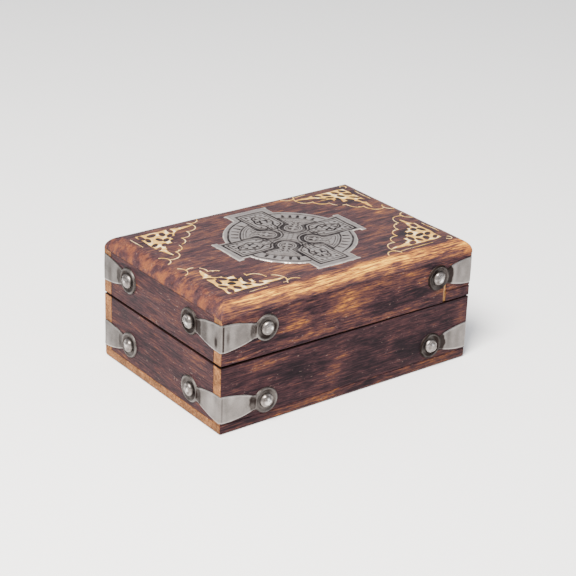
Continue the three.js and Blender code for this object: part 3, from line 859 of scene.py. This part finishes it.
@dataclass
class CornerStraps:
    """Eight straps bent round the upright edges, each wing ending in a dished disc under a nail."""

    half_height: float = 7.0
    neck_half_height: float = 3.8
    neck_reach: float = 17.6
    disc_radius: float = 6.65
    disc_reach: float = 24.6
    bend_radius: float = 1.3
    thickness: float = 0.6
    bead_height: float = 0.42
    step: float = 0.32
    margin: float = 9.5
    fold_shades: dict[str, float] = field(default_factory=lambda: {"lid_front_left": 1.0, "base_front_left": 0.55})
    shades: dict[str, float] = field(default_factory=lambda: {"base": 0.07, "lid": 0.2})
    heights: dict[str, float] = field(default_factory=lambda: {"base": 13.0, "lid": LID_RIM + 14.1})
    fits: dict[str, tuple[WingFit, WingFit]] = field(default_factory=lambda: {
        "base_front_left": (WingFit(1.2, -1.4, 0.75, 0.04), WingFit(-0.1, 1.0, 0.6, 0.1)),
        "lid_front_left": (WingFit(0.5, 0.1, 0.6), WingFit(0.9, -0.4, 0.62, 0.2)),
        "base_front_right": (WingFit(0.4, 0.3, 0.6), WingFit(-0.5, -0.3, 0.95, 0.13)),
        "lid_front_right": (WingFit(1.6, 0.0, 0.7), WingFit(-2.6, 0.2, 0.95, -0.05)),
        "base_back_right": (WingFit(0.0, 0.4, 0.6), WingFit(0.3, -0.5, 0.7)),
        "lid_back_right": (WingFit(-0.4, 0.0, 0.7), WingFit(0.4, 0.5, 0.6)),
        "base_back_left": (WingFit(-1.4, 1.8, 0.5, 0.16), WingFit(1.0, 0.0, 0.7)),
        "lid_back_left": (WingFit(-2.1, 0.0, 0.5, 0.14), WingFit(1.5, -0.3, 0.7)),
    })

    def wing(self, u: Array, t: Array, fit: WingFit) -> tuple[Array, Array]:
        """Signed distance to a wing, and the distance from its disc's middle.

        The half height is 7 at the bend and runs along (1 - s)^2 * 7 + 2s(1 - s) * 7 + s^2 * 3.8 to the neck.
        The climb shears the wing evenly over its length.

        Args:
            u: Distance from the box's edge along the face.
            t: Height from the strap's middle.
            fit: How the wing was fitted.

        Returns:
            The distance, negative inside, and the distance from the disc's middle.
        """
        reach = self.disc_reach + fit.reach
        neck = min(max(self.neck_reach, reach - 1.05 * self.disc_radius), reach - 0.82 * self.disc_radius)
        v = t - fit.climb * u / reach
        s = np.clip(u / neck, 0, 1)
        half = self.half_height * (1 - s * s) + self.neck_half_height * s * s
        from_disc = np.hypot(u - reach, v)
        blade = np.maximum(np.abs(v) - half, u - neck - 1.5)
        return softer(blade, from_disc - self.disc_radius, 0.5), from_disc

    def build_one(self, name: str, height: float, finish: bpy.types.Material) -> bpy.types.Object:
        """Builds one strap flat, then bends it round the box's edge.

        A point (u, t, h) of the flat strap goes to (u, -h, t) on the first face and (-h, -u, t) on the second.
        Between them it goes round an arc of the bend's radius.

        Args:
            name: Which half and corner.
            height: Height of the strap's middle, in mm.
            finish: The strap's material.

        Returns:
            The strap.
        """
        first, second = self.fits[name]
        half_name, corner = name.split("_", 1)
        seed = sum(map(ord, name))

        def both(u: Array, t: Array) -> tuple[Array, Array]:
            """The two wings as one field, and the distance from the nearer disc."""
            a, disc_a = self.wing(np.abs(u), t, first)
            b, disc_b = self.wing(np.abs(u), t, second)
            return np.where(u > 0, a, b), np.where(u > 0, disc_a, disc_b)

        def outline(u: Array, t: Array) -> Array:
            """The strap's edge, a little uneven."""
            return both(u, t)[0] + 0.1 * hand_noise(u, t, 3.0, seed)

        def relief(u: Array, t: Array) -> Array:
            """Height of the sheet: a raised bead round the disc, a dish inside it, and a rounded edge."""
            edge, disc = both(u, t)
            bead = self.bead_height * np.exp(-(((disc - self.disc_radius + 0.7) / 0.45) ** 2))
            dish = -0.2 * smooth_step(disc, 5.6, 4.2)
            hollow = 0.12 * hand_noise(u, t, 7.0, seed + 1)
            worn = -0.25 * (1 - smooth_step(-edge, 0.0, 0.6))
            return self.thickness + bead + dish + hollow + worn

        reach = self.disc_reach + self.margin
        low, high = (-reach, -self.margin), (reach, self.margin)
        points, faces, on_top = cut_plate(low, high, self.step, outline, relief, 0.0)
        u, t, h = points.T
        edge, disc = both(u, t)
        tarnish = np.where(u > 0, first.tarnish, second.tarnish)
        cloudy = 1 + 0.25 * hand_noise(u, t, 2.5, seed + 2)
        neck = smooth_step(disc + 0.5 * hand_noise(u, t, 1.6, seed + 3), 10.4, 9.0)
        dish = 0.52 * smooth_step(disc, 6.9, 6.3)
        # Painted shadow of the nail's dome: a dark crescent on one side of the dish.
        painted_dome_shadow = 0.3 * smooth_step(disc, 5.6, 5.0) * np.clip(hand_noise(u, t, 5.0, seed + 5) + 0.2, 0, 1)
        grime_and_painted_light = (neck * tarnish * smooth_step(disc, 5.6,
                                              6.9) + dish * (0.5 + 0.7 * tarnish) + painted_dome_shadow) * cloudy
        # Each half and each wing is made darker all over by a set amount.
        wing_darkening = np.where(u > 0, first.wing_darkening, second.wing_darkening)
        # Painted reflections: an uneven darkening over the wing, outside the disc, that grows away from the bend.
        blade = 1 - smooth_step(disc, 11.5, 8.0)
        painted_reflection = 0.1 + 0.2 * hand_noise(u, t * 0.35, 3.0, seed + 6) + 0.16 * smooth_step(np.abs(u), 4, 16)
        grime_and_painted_light = grime_and_painted_light + self.shades[half_name] + wing_darkening + blade * painted_reflection
        # Painted shade and dark reflections at the fold: a dark line just round the edge, and dark smears on both
        # sides of it.
        fold_shade = self.fold_shades.get(name, 0.45)
        left_dark_reflection = np.exp(-(((u + 3.5) / 1.7) ** 2) - ((t + 2.4) / 4.0) ** 2)
        front_dark_reflection = np.exp(-(((u - 3.2) / 1.5) ** 2) - ((t - 0.2) / 6.0) ** 2)
        dark_reflections = 1.35 * left_dark_reflection + 0.85 * front_dark_reflection
        fold_shade = fold_shade * np.maximum(1.1 * stroke(u - 0.8, 0.9, 0.45), 0.85 * dark_reflections * (fold_shade > 0.9))
        # Handling rubs the cut edges and the rims of the discs, and highlights are painted on them as thin pale
        # lines where rolled edges catch the light.
        bright = np.maximum(0.8 * stroke(edge + 0.4, 0.45, 0.3),
                            0.5 * stroke(disc - self.disc_radius + 0.8, 0.3, 0.3))
        bright = bright * (0.7 + 0.3 * hand_noise(u, t, 4.0, seed + 4)) * (1 - 0.7 * neck * tarnish)
        grime_and_painted_light = np.maximum(grime_and_painted_light, fold_shade) * (1 - bright) - 0.9 * bright
        grime_and_painted_light = grime_and_painted_light * on_top + 0.3 * (1 - on_top)

        r = self.bend_radius
        angle = np.clip(u / r, -1, 1) * np.pi / 4
        bx = r - (r + h) * np.sin(np.pi / 4 - angle)
        by = r - (r + h) * np.cos(np.pi / 4 - angle)
        px = np.where(u > r, u, np.where(u < -r, -h, bx))
        py = np.where(u > r, -h, np.where(u < -r, -u, by))
        sx, sy, _ = CORNERS[corner]
        px, py = turned_to(corner, px, py)
        placed = np.stack([sx * HALF_LENGTH + px, sy * HALF_DEPTH + py, height + t], 1)
        piece = make_piece(f"{name}_strap", placed, [faces], {"grime_and_painted_light": grime_and_painted_light}, crease=60.0)
        return settle(piece, half_name, finish, [f"{half_name}_strap_{corner}"])

    def build(self) -> list[bpy.types.Object]:
        """Builds the eight straps.

        Returns:
            The straps.
        """
        # Tinned sheet steel, cut, pressed and polished: a pale grey glow with black left in the hollows, and
        # painted shade, dark reflections and highlights from the strap's mark.
        finish = WornMetal("tinned_sheet_steel_pressed", bright="#85807d", dull="#716c69", aged_and_shaded="#241d1b",
                           polished_and_highlit="#b8b3ae", grime_and_painted_light="grime_and_painted_light", roughness=0.25, mottle=9.0).build()
        return [self.build_one(name, self.heights[name.split("_")[0]], finish) for name in self.fits]


@dataclass
class DomedNails:
    """Sixteen hammered nails, one in the middle of each disc."""

    straps: CornerStraps
    radius: float = 3.7
    rise: float = 2.3
    seat: float = 0.5
    shank_radius: float = 0.8
    shank_length: float = 4.6
    rings: int = 14
    sides: int = 40

    def build_one(self, name: str, middle: Array, outwards: Array, finish: bpy.types.Material, body: str,
                  source: str) -> bpy.types.Object:
        """Builds one nail: a dome of height rise * sqrt(1 - (r/radius)^2.6) with hammer marks, on a shank.

        Args:
            name: The piece's name.
            middle: The nail's place on the wood's face, in mm.
            outwards: The way the face looks.
            finish: The nail's material.
            body: The body it rides on.
            source: The CAD nail it stands for.

        Returns:
            The nail.
        """
        seed = sum(map(ord, name))
        rng = np.random.default_rng(seed)
        r = self.radius * np.sin(np.linspace(0.06, np.pi / 2, self.rings))
        dome = np.stack([r, self.seat + self.rise * np.sqrt(np.maximum(1 - (r / self.radius) ** 2.6, 0))], 1)
        under = [[self.radius - 0.15, self.seat - 0.15], [self.shank_radius, self.seat - 0.15],
                 [self.shank_radius, 2 * self.shank_radius - self.shank_length], [0.1, -self.shank_length]]
        points, quads, caps = turned_shape(np.concatenate([dome, under]), self.sides)
        x, y, z = points.T
        out = np.hypot(x, y)
        on_dome = smooth_step(z, self.seat, self.seat + 0.5)
        dents = 0.36 * hand_noise(x + 9, y, 1.9, seed) + 0.14 * hand_noise(x, y + 5, 0.9, seed + 1)
        ring_radius = rng.uniform(1.9, 2.6)
        ring = -0.3 * stroke(out - ring_radius, 0.5, 0.35)
        z = z + on_dome * (dents + ring)
        stretch, spin = rng.uniform(0.9, 1.02), rng.uniform(0, np.pi)
        wide = x * np.cos(spin) + y * np.sin(spin)
        x, y = x + (stretch - 1) * wide * np.cos(spin), y + (stretch - 1) * wide * np.sin(spin)
        lean = rng.uniform(-0.05, 0.05, 2)
        z = z + (lean[0] * x + lean[1] * y) * on_dome
        across = np.cross([0.0, 0.0, 1.0], outwards)
        placed = middle + x[:, None] * across + y[:, None] * np.array([0.0, 0.0, 1.0]) + z[:, None] * outwards
        rim = 0.5 * smooth_step(out, 0.9 * self.radius, self.radius)
        # Painted highlights: pale spots near the middle of the dome.
        rubbed = 0.7 * smooth_step(hand_noise(x + 3, y, 1.5, seed + 3), 0.1, 0.6) * smooth_step(out, 3.0, 1.5)
        grime_and_painted_light = 0.12 + rim + 0.5 * stroke(out - ring_radius, 0.4, 0.4)
        grime_and_painted_light = grime_and_painted_light + 0.25 * hand_noise(x, y, 1.3, seed + 2) - rubbed
        piece = make_piece(name, placed, [quads, caps], {"grime_and_painted_light": grime_and_painted_light}, crease=50.0)
        return settle(piece, body, finish, [source])

    def build(self) -> list[bpy.types.Object]:
        """Builds the sixteen nails.

        Returns:
            The nails.
        """
        # Bright iron nail heads, hammered and rubbed: small hard highlights, with more painted on as pale spots,
        # dark only round the rim.
        finish = WornMetal("iron_nail_hammered", bright="#8c8683", dull="#6e6763", aged_and_shaded="#241e1d",
                           polished_and_highlit="#f1eeea",
                           grime_and_painted_light="grime_and_painted_light", roughness=0.2, mottle=2.0).build()
        made = []
        for name, wings in self.straps.fits.items():
            half, corner = name.split("_", 1)
            sx, sy, _ = CORNERS[corner]
            for fit, along, away in zip(wings, ((1, 0), (0, 1)), ((0, -1), (-1, 0))):
                reach = self.straps.disc_reach + fit.reach
                px, py = turned_to(corner, along[0] * reach, along[1] * reach)
                height = self.straps.heights[half] + fit.climb
                middle = np.array([sx * HALF_LENGTH + px, sy * HALF_DEPTH + py, height])
                away = turned_to(corner, *away)
                face = FACES[away]
                made.append(self.build_one(f"{half}_{corner}_{face}_nail", middle, np.array([*away, 0.0]),
                                           finish,
                                           half, f"{half}_nail_{corner}_on_{face}"))
        return made


# ---- Metal in the top ----


@dataclass
class ChasedCross:
    """The ringed cross: a cast pewter plate, chased with borders, loops and leaves, and blackened in the lines."""

    disc_radius: float = 33.3
    step: float = 0.31
    lift: float = 0.42
    depth: float = 0.26
    floor: float = TOP_HEIGHT - 0.85

    def outline(self, x: Array, y: Array) -> Array:
        """Signed distance to the edge: a disc, two wide arms, two narrower arms, and the bars at their ends."""
        ax, ay = np.abs(x), np.abs(y)
        disc = np.hypot(x, y) - self.disc_radius
        side = np.maximum(ay - 10.2, ax - 39.2)
        side_bar = np.maximum(ay - 11.7, np.abs(ax - 37.6) - 1.6)
        long_arm = np.maximum(ax - 12.3, ay - 39.4)
        long_bar = np.maximum(ax - 13.0, np.abs(ay - 38.6) - 0.8)
        whole = np.minimum.reduce([disc, side, side_bar, long_arm, long_bar])
        return whole + 0.16 * hand_noise(x, y, 2.6, 21) + 0.1 * hand_noise(x, y, 9.0, 22)

    def chasing(self, x: Array, y: Array) -> Array:
        """How deep the chased lines are, from 0 to 1.

        With q the signed distance to the keyhole in each quarter, whose loop turns to the middle, lines run
        along q = 1 and q = 2.6 round the arms, and along q = 0 and q = -1.6 inside the keyhole. Each arm holds
        a lobed cartouche, and each quarter a leaf, two rings and a row of ticks.

        Args:
            x: Place across, from the middle.
            y: Place along, from the middle.

        Returns:
            Depth from 0 to 1.
        """
        x = x + 0.3 * hand_noise(x, y, 6.0, 31)
        y = y + 0.3 * hand_noise(x, y, 6.0, 32)
        ax, ay = np.abs(x), np.abs(y)
        r = np.hypot(x, y)
        out, aside = (ax + ay) / math.sqrt(2), (ax - ay) / math.sqrt(2)
        quarter = np.maximum(9.4 - ax, 9.4 - ay)
        loop = np.hypot(ax - 8.2, ay - 8.2) - 5.2
        q = softer(quarter, loop, 2.2)

        frame_outer = np.minimum(np.maximum(ay - 8.3, ax - 35.0), np.maximum(ax - 8.3, ay - 35.0))
        frame_inner = np.minimum(np.maximum(ay - 6.7, ax - 33.2), np.maximum(ax - 6.7, ay - 33.2))
        first = np.maximum(frame_outer, 1.1 - q)
        second = np.maximum(frame_inner, 2.7 - q)
        lines = np.maximum(stroke(first, 1.35), stroke(second, 0.85))
        margin = np.minimum(np.maximum(ay - 9.0, ax - 37.3), np.maximum(ax - 11.0, ay - 37.4))
        lines = np.maximum(lines, 0.6 * (r > 32.2) * stroke(margin, 0.5))

        along, across = np.maximum(ax, ay), np.minimum(ax, ay)
        bulb = np.hypot(along - 22.6, across) - 4.6
        bulb = softer(bulb, np.hypot(along - 27.4, across) - 3.1, 1.2)
        bulb = softer(bulb, np.maximum(np.abs(along - 15.5) - 3.5, across - 2.3), 1.5)
        lines = np.maximum(lines, stroke(bulb, 1.1))
        motif = np.minimum.reduce([
            np.hypot(along - 22.4, across) - 1.3, np.hypot(along - 25.6, across - 1.7) - 1.0,
            np.hypot(along - 19.8, across - 1.7) - 1.0, np.hypot(along - 28.4, across) - 0.8,
            np.maximum(across - 0.4, np.abs(along - 20.5) - 8.0), np.hypot(along - 22.4, across - 3.1) - 0.7,
            np.hypot(along - 15.6, across - 1.1) - 0.7,
        ])
        lines = np.maximum(lines, 0.95 * inside(bulb + 0.9) * (1 - inside(motif)))
        pits = ((31.2, 4.4, 0.95), (28.4, 5.2, 0.7), (31.6, 1.6, 0.7), (17.4, 4.9, 0.7), (25.2, 5.3, 0.5),
                (14.2, 3.6, 0.5))
        for a, c, size in pits:
            lines = np.maximum(lines, inside(np.hypot(along - a, across - c) - size))

        keyhole = (q < 0.6) & (r < 31.4)
        inner = np.maximum(q, r - 22.2)
        lines = np.maximum(lines, keyhole * stroke(np.maximum(q, r - 24.9), 1.0))
        lines = np.maximum(lines, keyhole * stroke(np.maximum(q + 1.4, r - 22.2), 0.6))
        lines = np.maximum(lines, 0.9 * (q < -0.8) * stroke(r - 23.5, 0.6))
        web = np.minimum(np.abs(np.mod(out + 2.2 * np.abs(aside), 2.6) - 1.3), np.abs(aside) + 0.2)
        lines = np.maximum(lines,
                           0.7 * (r > 15.5) * inside(np.maximum(q + 1.2, r - 21.6)) * stroke(web, 0.55))
        leaf = np.minimum.reduce([
            np.maximum(np.abs(aside) - 0.5, np.abs(out - 14.5) - 6.5), np.maximum(np.abs(out - 11.9) - 0.5,
                                                                                  np.abs(aside) - 2.3),
            np.hypot(out - 11.9, aside) - 1.2, np.hypot((out - 15.4) / 1.3, np.abs(aside) - 1.2) - 0.85,
            np.hypot((out - 18.8) / 0.9, (np.abs(aside) - 3.0) / 1.5) - 0.95,
            np.hypot(out - 20.4, np.abs(aside) - 0.9) - 0.75,
        ])
        lines = np.maximum(lines, 0.9 * inside(np.maximum(q + 2.1, inner + 1.7)) * (1 - inside(leaf)))
        angle = np.degrees(np.arctan2(aside, out))
        pitch = 8.2
        to_tick = (np.mod(angle + pitch / 2, pitch) - pitch / 2) * np.pi / 180 * r
        tick = np.maximum(np.abs(to_tick) - 0.95 + 0.1 * (r - 25.6), np.abs(r - 27.6) - 1.9)
        lines = np.maximum(lines, inside(tick) * (q < -1.0))
        lines = np.maximum(lines, (q < 0.2) * stroke(r - 30.8, 1.15))

        lattice = np.minimum(np.abs(np.mod(x + y, 3.2) - 1.6), np.abs(np.mod(x - y, 3.2) - 1.6))
        centre = np.maximum(out - 4.8, 0)
        lines = np.maximum(lines, inside(centre) * stroke(lattice, 0.8))
        dots = np.hypot(along - 8.6, across) - 0.9
        return np.maximum(lines, inside(dots))

    def build(self) -> bpy.types.Object:
        """Builds and dresses the plate.

        Returns:
            The plate.
        """

        def top(x: Array, y: Array) -> Array:
            """The plate's upper face, with the lines sunk in and the rim rounded over."""
            round_over = 0.3 * (1 - smooth_step(-self.outline(x, y), 0.0, 0.8))
            wave = 0.05 * hand_noise(x, y, 14.0, 23)
            return TOP_HEIGHT + self.lift - self.depth * self.chasing(x, y) - round_over + wave

        reach = 41.0
        points, faces, on_top = cut_plate((-reach, -reach), (reach, reach), self.step, self.outline, top,
                                          self.floor)
        x, y = points[:, 0], points[:, 1]
        worn = 0.14 * hand_noise(x, y, 5.0, 24) + 0.1 * hand_noise(x, y, 1.4, 26)
        rim = (1 - smooth_step(-self.outline(x, y), 0.3, 0.9)) * (0.75 + 0.5 * hand_noise(x, y, 1.8, 25))
        grime_and_painted_light = (self.chasing(x, y) * 0.95 + worn - rim) * on_top - 0.2 * (1 - on_top)
        piece = make_piece("medallion_cross", points, [faces], {"grime_and_painted_light": grime_and_painted_light}, crease=70.0)
        # Cast pewter, chased and antiqued: soft grey on the ridges, and near black in the lines.
        finish = WornMetal("cast_pewter_antiqued", bright="#c4bcb9", dull="#a39b99", aged_and_shaded="#2e2a2c",
                           polished_and_highlit="#f2e9de", grime_and_painted_light="grime_and_painted_light", roughness=0.4, mottle=5.0).build()
        return settle(piece, "lid", finish, ["medallion"])


@dataclass(frozen=True)
class FretFit:
    """How one fretwork corner came out: its random seed, and how much wire is left, from 0 to 1."""

    seed: int
    wire_left: float


@dataclass
class FretworkCorners:
    """Four corners of pierced brass with inlaid wire round them."""

    step: float = 0.26
    lift: float = 0.16
    wire_half_width: float = 0.23
    hole_rows: tuple[tuple[float, int, float], ...] = (
        (19.0, 1, 0.0), (22.8, 2, 6.2), (27.0, 3, 7.0), (31.2, 5, 5.9), (34.6, 3, 9.5),
    )
    fits: dict[str, FretFit] = field(default_factory=lambda: {
        "front_left": FretFit(41, 0.6), "front_right": FretFit(42, 0.96),
        "back_right": FretFit(47, 0.8), "back_left": FretFit(44, 0.72),
    })

    def fret(self, u: Array, v: Array, seed: int) -> Array:
        """Signed distance to the pierced triangle with its two long leaf tips.

        With s = (u - v) / sqrt 2 and d = (u + v) / sqrt 2, the body is u > 11.2, v > 10.6 and
        d < 34.6 + 1.8 cos(2 pi s / 9.5) - s^2 / 90. The holes are ovals in rows across d, and hole_rows gives
        each row's depth, count and pitch.

        Args:
            u: Distance from the box's end.
            v: Distance from the box's front or back.
            seed: Which uneven hand.

        Returns:
            The distance, negative inside.
        """
        u = u + 0.5 * hand_noise(u, v, 4.0, seed)
        v = v + 0.5 * hand_noise(u, v, 4.0, seed + 100)
        s, d = (u - v) / math.sqrt(2), (u + v) / math.sqrt(2)
        body = np.maximum.reduce([11.2 - u, 10.6 - v,
                                  d - 34.6 - 1.8 * np.cos(2 * np.pi * s / 9.5) + s * s / 90])

        def tip(a: tuple[float, float], b: tuple[float, float], thick: float, thin: float) -> Array:
            """A leaf from a to b that narrows from thick to thin."""
            du, dv = b[0] - a[0], b[1] - a[1]
            t = np.clip(((u - a[0]) * du + (v - a[1]) * dv) / (du * du + dv * dv), 0, 1)
            return np.hypot(u - a[0] - t * du, v - a[1] - t * dv) - (thick + (thin - thick) * t)

        body = softer(body, tip((29.0, 13.0), (43.0, 12.0), 1.8, 0.35), 1.5)
        body = softer(body, tip((13.6, 30.0), (14.4, 39.0), 1.9, 0.35), 1.5)
        far_off = 1e3
        holes = np.full_like(u, far_off)
        rng = np.random.default_rng(seed)
        for depth, count, pitch in self.hole_rows:
            for index in range(count):
                hole_s = (index - (count - 1) / 2) * pitch + rng.uniform(-0.6, 0.6)
                hole_d = depth + rng.uniform(-0.6, 0.6) - 0.008 * hole_s * hole_s
                turn = rng.uniform(-1.1, 0.5)
                ds, dd = s - hole_s, d - hole_d
                a = ds * math.cos(turn) + dd * math.sin(turn)
                b = -ds * math.sin(turn) + dd * math.cos(turn)
                half_long, half_wide = rng.uniform(2.1, 2.8), rng.uniform(1.3, 1.7)
                holes = np.minimum(holes, (np.hypot(a / half_long, b / half_wide) - 1) * half_wide)
        return np.maximum(body, -holes)

    def wires(self, u: Array, v: Array, fit: FretFit) -> Array:
        """Signed distance to the wires: scallops outside the long side, straight runs, and a curl at the corner.

        Args:
            u: Distance from the box's end.
            v: Distance from the box's front or back.
            fit: How the corner came out.

        Returns:
            The distance, negative inside.
        """
        u = u + 0.4 * hand_noise(u, v, 7.0, fit.seed + 7)
        v = v + 0.4 * hand_noise(u, v, 7.0, fit.seed + 8)
        s, d = (u - v) / math.sqrt(2), (u + v) / math.sqrt(2)
        lobes = np.minimum.reduce([
            np.hypot(s - place, d - 34.6 - 0.004 * place * place) - 5.5 for place in (-18.4, -9.2, 0, 9.2,
                                                                                      18.4)
        ])
        scallop = np.maximum(np.abs(lobes), 37.2 - d)
        end_runs = 0.12 + np.minimum(
            np.maximum(np.abs(u - 7.6), np.abs(v - 21) - 9), np.maximum(np.abs(v - 7.6), np.abs(u - 31) - 11))
        hooks = np.minimum.reduce([
            np.maximum(np.abs(np.hypot(u - 45.5, v - 5.5) - 4.2), 6.5 - v),
            np.maximum(np.abs(np.hypot(u - 5.5, v - 43.0) - 4.2), 6.5 - u),
        ])
        curl = np.maximum(np.abs(np.hypot(u - 9.2, v - 8.6) - 1.7), (u + v) * 0.6 - 11.2)
        line = np.minimum.reduce([scallop, end_runs, hooks, curl])
        width = self.wire_half_width + 0.07 * hand_noise(u, v, 2.4, fit.seed + 9)
        lost = hand_noise(u, v, 5.5, fit.seed + 10) * 0.5 + 0.5 - fit.wire_left
        dots = np.minimum.reduce([np.hypot(u - a, v - b) - 0.55 for a,
                                  b in ((38.0, 21.5), (20.0, 36.0), (31.0, 31.0))])
        return np.minimum(np.maximum(line - width, lost * 2), dots)

    def build_one(self, corner: str, fit: FretFit, finish: bpy.types.Material) -> bpy.types.Object:
        """Builds one corner's fretwork and wires as one piece.

        Args:
            corner: Which corner.
            fit: How it came out.
            finish: Its material.

        Returns:
            The piece.
        """
        sx, sy, _ = CORNERS[corner]

        def whole(u: Array, v: Array) -> Array:
            """The pierced plate and the wires together."""
            return np.minimum(self.fret(u, v, fit.seed), self.wires(u, v, fit))

        def top(u: Array, v: Array) -> Array:
            """The upper face, rounded over along every edge and rubbed uneven."""
            edge = smooth_step(-whole(u, v), 0.0, 0.35)
            return TOP_HEIGHT + self.lift * (0.35 + 0.65 * edge) + 0.04 * hand_noise(u, v, 3.0, fit.seed + 3)

        points, faces, on_top = cut_plate((4.0, 4.0), (52.0, 52.0), self.step, whole, top, TOP_HEIGHT - 0.8)
        u, v, z = points.T
        placed = np.stack([sx * (HALF_LENGTH - u), sy * (HALF_DEPTH - v), z], 1)
        if sx * sy < 0:
            faces = faces[:, ::-1]
        edge = 1 - smooth_step(-whole(u, v), 0.0, 0.3)
        rubbed = 0.5 + 0.5 * hand_noise(u, v, 2.4, fit.seed + 4)
        grime_and_painted_light = 0.25 * edge + 0.45 * rubbed * edge - 0.9 * smooth_step(rubbed, 0.45, 0.8) * (1 - edge)
        # The wire is rubbed pale all over.
        on_wire = self.wires(u, v, fit) < self.fret(u, v, fit.seed)
        grime_and_painted_light = np.where(on_wire, 0.1 - 0.8 * rubbed, grime_and_painted_light) * on_top + (1 - on_top)
        piece = make_piece(f"fretwork_{corner}", placed, [faces], {"grime_and_painted_light": grime_and_painted_light}, crease=60.0)
        return settle(piece, "lid", finish, [f"inlay_{corner}"])

    def build(self) -> list[bpy.types.Object]:
        """Builds the four corners.

        Returns:
            The corners.
        """
        # Pale brass sheet, pierced and rubbed flush: cream and gold, browned along its edges.
        finish = WornMetal("pale_brass_pierced", bright="#e8bb5e", dull="#bb8130", aged_and_shaded="#43240f",
                           polished_and_highlit="#fbe3b4",
                           grime_and_painted_light="grime_and_painted_light", roughness=0.45, metallic=0.3, mottle=2.5, scratches=0.3).build()
        return [self.build_one(corner, fit, finish) for corner, fit in self.fits.items()]


# ---- Hinges and lock ----


@dataclass
class HiddenWorks:
    """The hinges and the lock: CAD parts with their own finishes, and the drawn strip with eased edges."""

    brass_nodes: tuple[str, ...] = ("lock_bolt", "keeper_post")
    bare_nodes: tuple[str, ...] = ("keeper_block", "lock_rail", "registration_peg")

    def build(self) -> list[bpy.types.Object]:
        """Dresses the CAD parts and builds the strip.

        Returns:
            Every part that it dressed or built.
        """
        # Drawn brass, tarnished in the air: warm yellow with brown clouds.
        brass = WornMetal("drawn_brass_tarnished", bright="#c9a45c", dull="#8a6a35", roughness=0.36,
                          mottle=3.5).build()
        bare = StainedMangoWood("bare_mango_wood_sawn", Grain.ALONG_Y, 0.6).build()
        strip_finish = StainedMangoWood("stained_mango_wood_strip", Grain.ROUND_CORNER, 0.36,
                                        depth=0.86).build()
        made = []
        for name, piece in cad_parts.items():
            of_brass = name.startswith("hinge_") or name in self.brass_nodes
            if of_brass or name in self.bare_nodes:
                piece.data.materials.clear()
                piece.data.materials.append(brass if of_brass else bare)
                made.append(piece)
        strip = eased_copy("lock_strip", "drawn_strip", 0.25)
        made.append(settle(strip, "lock_strip", strip_finish, ["lock_strip"]))
        return made


# ---- Studio ----


@dataclass
class Studio:
    """A pale floor, soft lamps and the camera."""

    place: tuple[float, float, float] = (-0.4490, -0.5775, 0.3608)
    azimuth: float = -37.8507
    elevation: float = 23.8437
    roll: float = 2.2387
    lens: float = 99.99
    sensor: float = 36.0

    def camera(self) -> None:
        """Sets up the camera: it looks along (-sin a cos e, cos a cos e, -sin e), turned by the roll."""
        a, e, roll = (math.radians(v) for v in (self.azimuth, self.elevation, self.roll))
        ahead = np.array([-math.sin(a) * math.cos(e), math.cos(a) * math.cos(e), -math.sin(e)])
        right = np.cross(ahead, [0.0, 0.0, 1.0])
        right /= np.linalg.norm(right)
        up = np.cross(right, ahead)
        c, s = math.cos(roll), math.sin(roll)
        right, up = c * right + s * up, -s * right + c * up
        data = bpy.data.cameras.new("camera")
        data.lens, data.sensor_width = self.lens, self.sensor
        data.clip_start, data.clip_end = 0.05, 20.0
        camera = bpy.data.objects.new("camera", data)
        matrix = Matrix([[right[i], up[i], -ahead[i], self.place[i]] for i in range(3)] + [[0, 0, 0, 1]])
        camera.matrix_world = matrix
        bpy.context.scene.collection.objects.link(camera)
        bpy.context.scene.camera = camera

    def lamp(self, name: str, place: Sequence[float], size: float, power: float, colour: str) -> None:
        """Adds a square soft lamp that looks at the box.

        Args:
            name: The lamp's name.
            place: Where it stands, in metres.
            size: Its side, in metres.
            power: Its power, in watts.
            colour: Its sRGB hex colour.
        """
        data = bpy.data.lights.new(name, "AREA")
        data.size, data.energy, data.color = size, power, linear(colour)[:3]
        lamp = bpy.data.objects.new(name, data)
        back = np.array(place) - np.array([0.0, 0.0, 0.03])
        back /= np.linalg.norm(back)
        side = np.cross([0.0, 0.0, 1.0], back)
        side /= np.linalg.norm(side)
        up = np.cross(back, side)
        lamp.matrix_world = Matrix([[side[i], up[i], back[i], place[i]] for i in range(3)] + [[0, 0, 0, 1]])
        bpy.context.scene.collection.objects.link(lamp)

    def floor(self) -> bpy.types.Object:
        """Builds the floor, a plain sheet of matt paper.

        Returns:
            Nothing, since mark_backdrop() gives back None.
        """
        half = 4000.0
        corners = np.array([[-half, -half, 0], [half, -half, 0], [half, half, 0], [-half, half, 0]])
        floor = make_piece("floor", corners, [np.array([[0, 1, 2, 3]])])
        material, _, shader = blank_material("matt_paper_floor")
        shader.inputs["Base Color"].default_value = linear("#fbfbfc")
        shader.inputs["Roughness"].default_value = 0.9
        shader.inputs["Specular IOR Level"].default_value = 0.2
        floor.data.materials.append(material)
        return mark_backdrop(floor)

    def build(self) -> None:
        """Sets up the floor, lamps, sky and camera."""
        self.camera()
        self.floor()
        self.lamp("key_lamp", (-0.6, -0.35, 1.0), 0.45, 53.0, "#fffaf2")
        self.lamp("fill_lamp", (0.5, -1.1, 0.7), 1.0, 5.0, "#f2f6ff")
        world = bpy.data.worlds.new("sky")
        world.use_nodes = True
        background = world.node_tree.nodes["Background"]
        background.inputs["Color"].default_value = linear("#eef0f3")
        background.inputs["Strength"].default_value = 0.95
        bpy.context.scene.world = world


def main() -> None:
    """Builds every assembly in order and reports its pieces."""
    logging.basicConfig(level=logging.INFO, format="%(name)s: %(message)s", stream=sys.stdout)
    straps = CornerStraps()
    Studio().build()
    for assembly in (Carcass(), TopBoard(), straps, DomedNails(straps), ChasedCross(), FretworkCorners(),
                     HiddenWorks()):
        made = assembly.build()
        for piece in made if isinstance(made, list) else [made]:
            log.info("%s: %d faces", piece.name, len(piece.data.polygons))


if __name__ == "__main__":
    main()
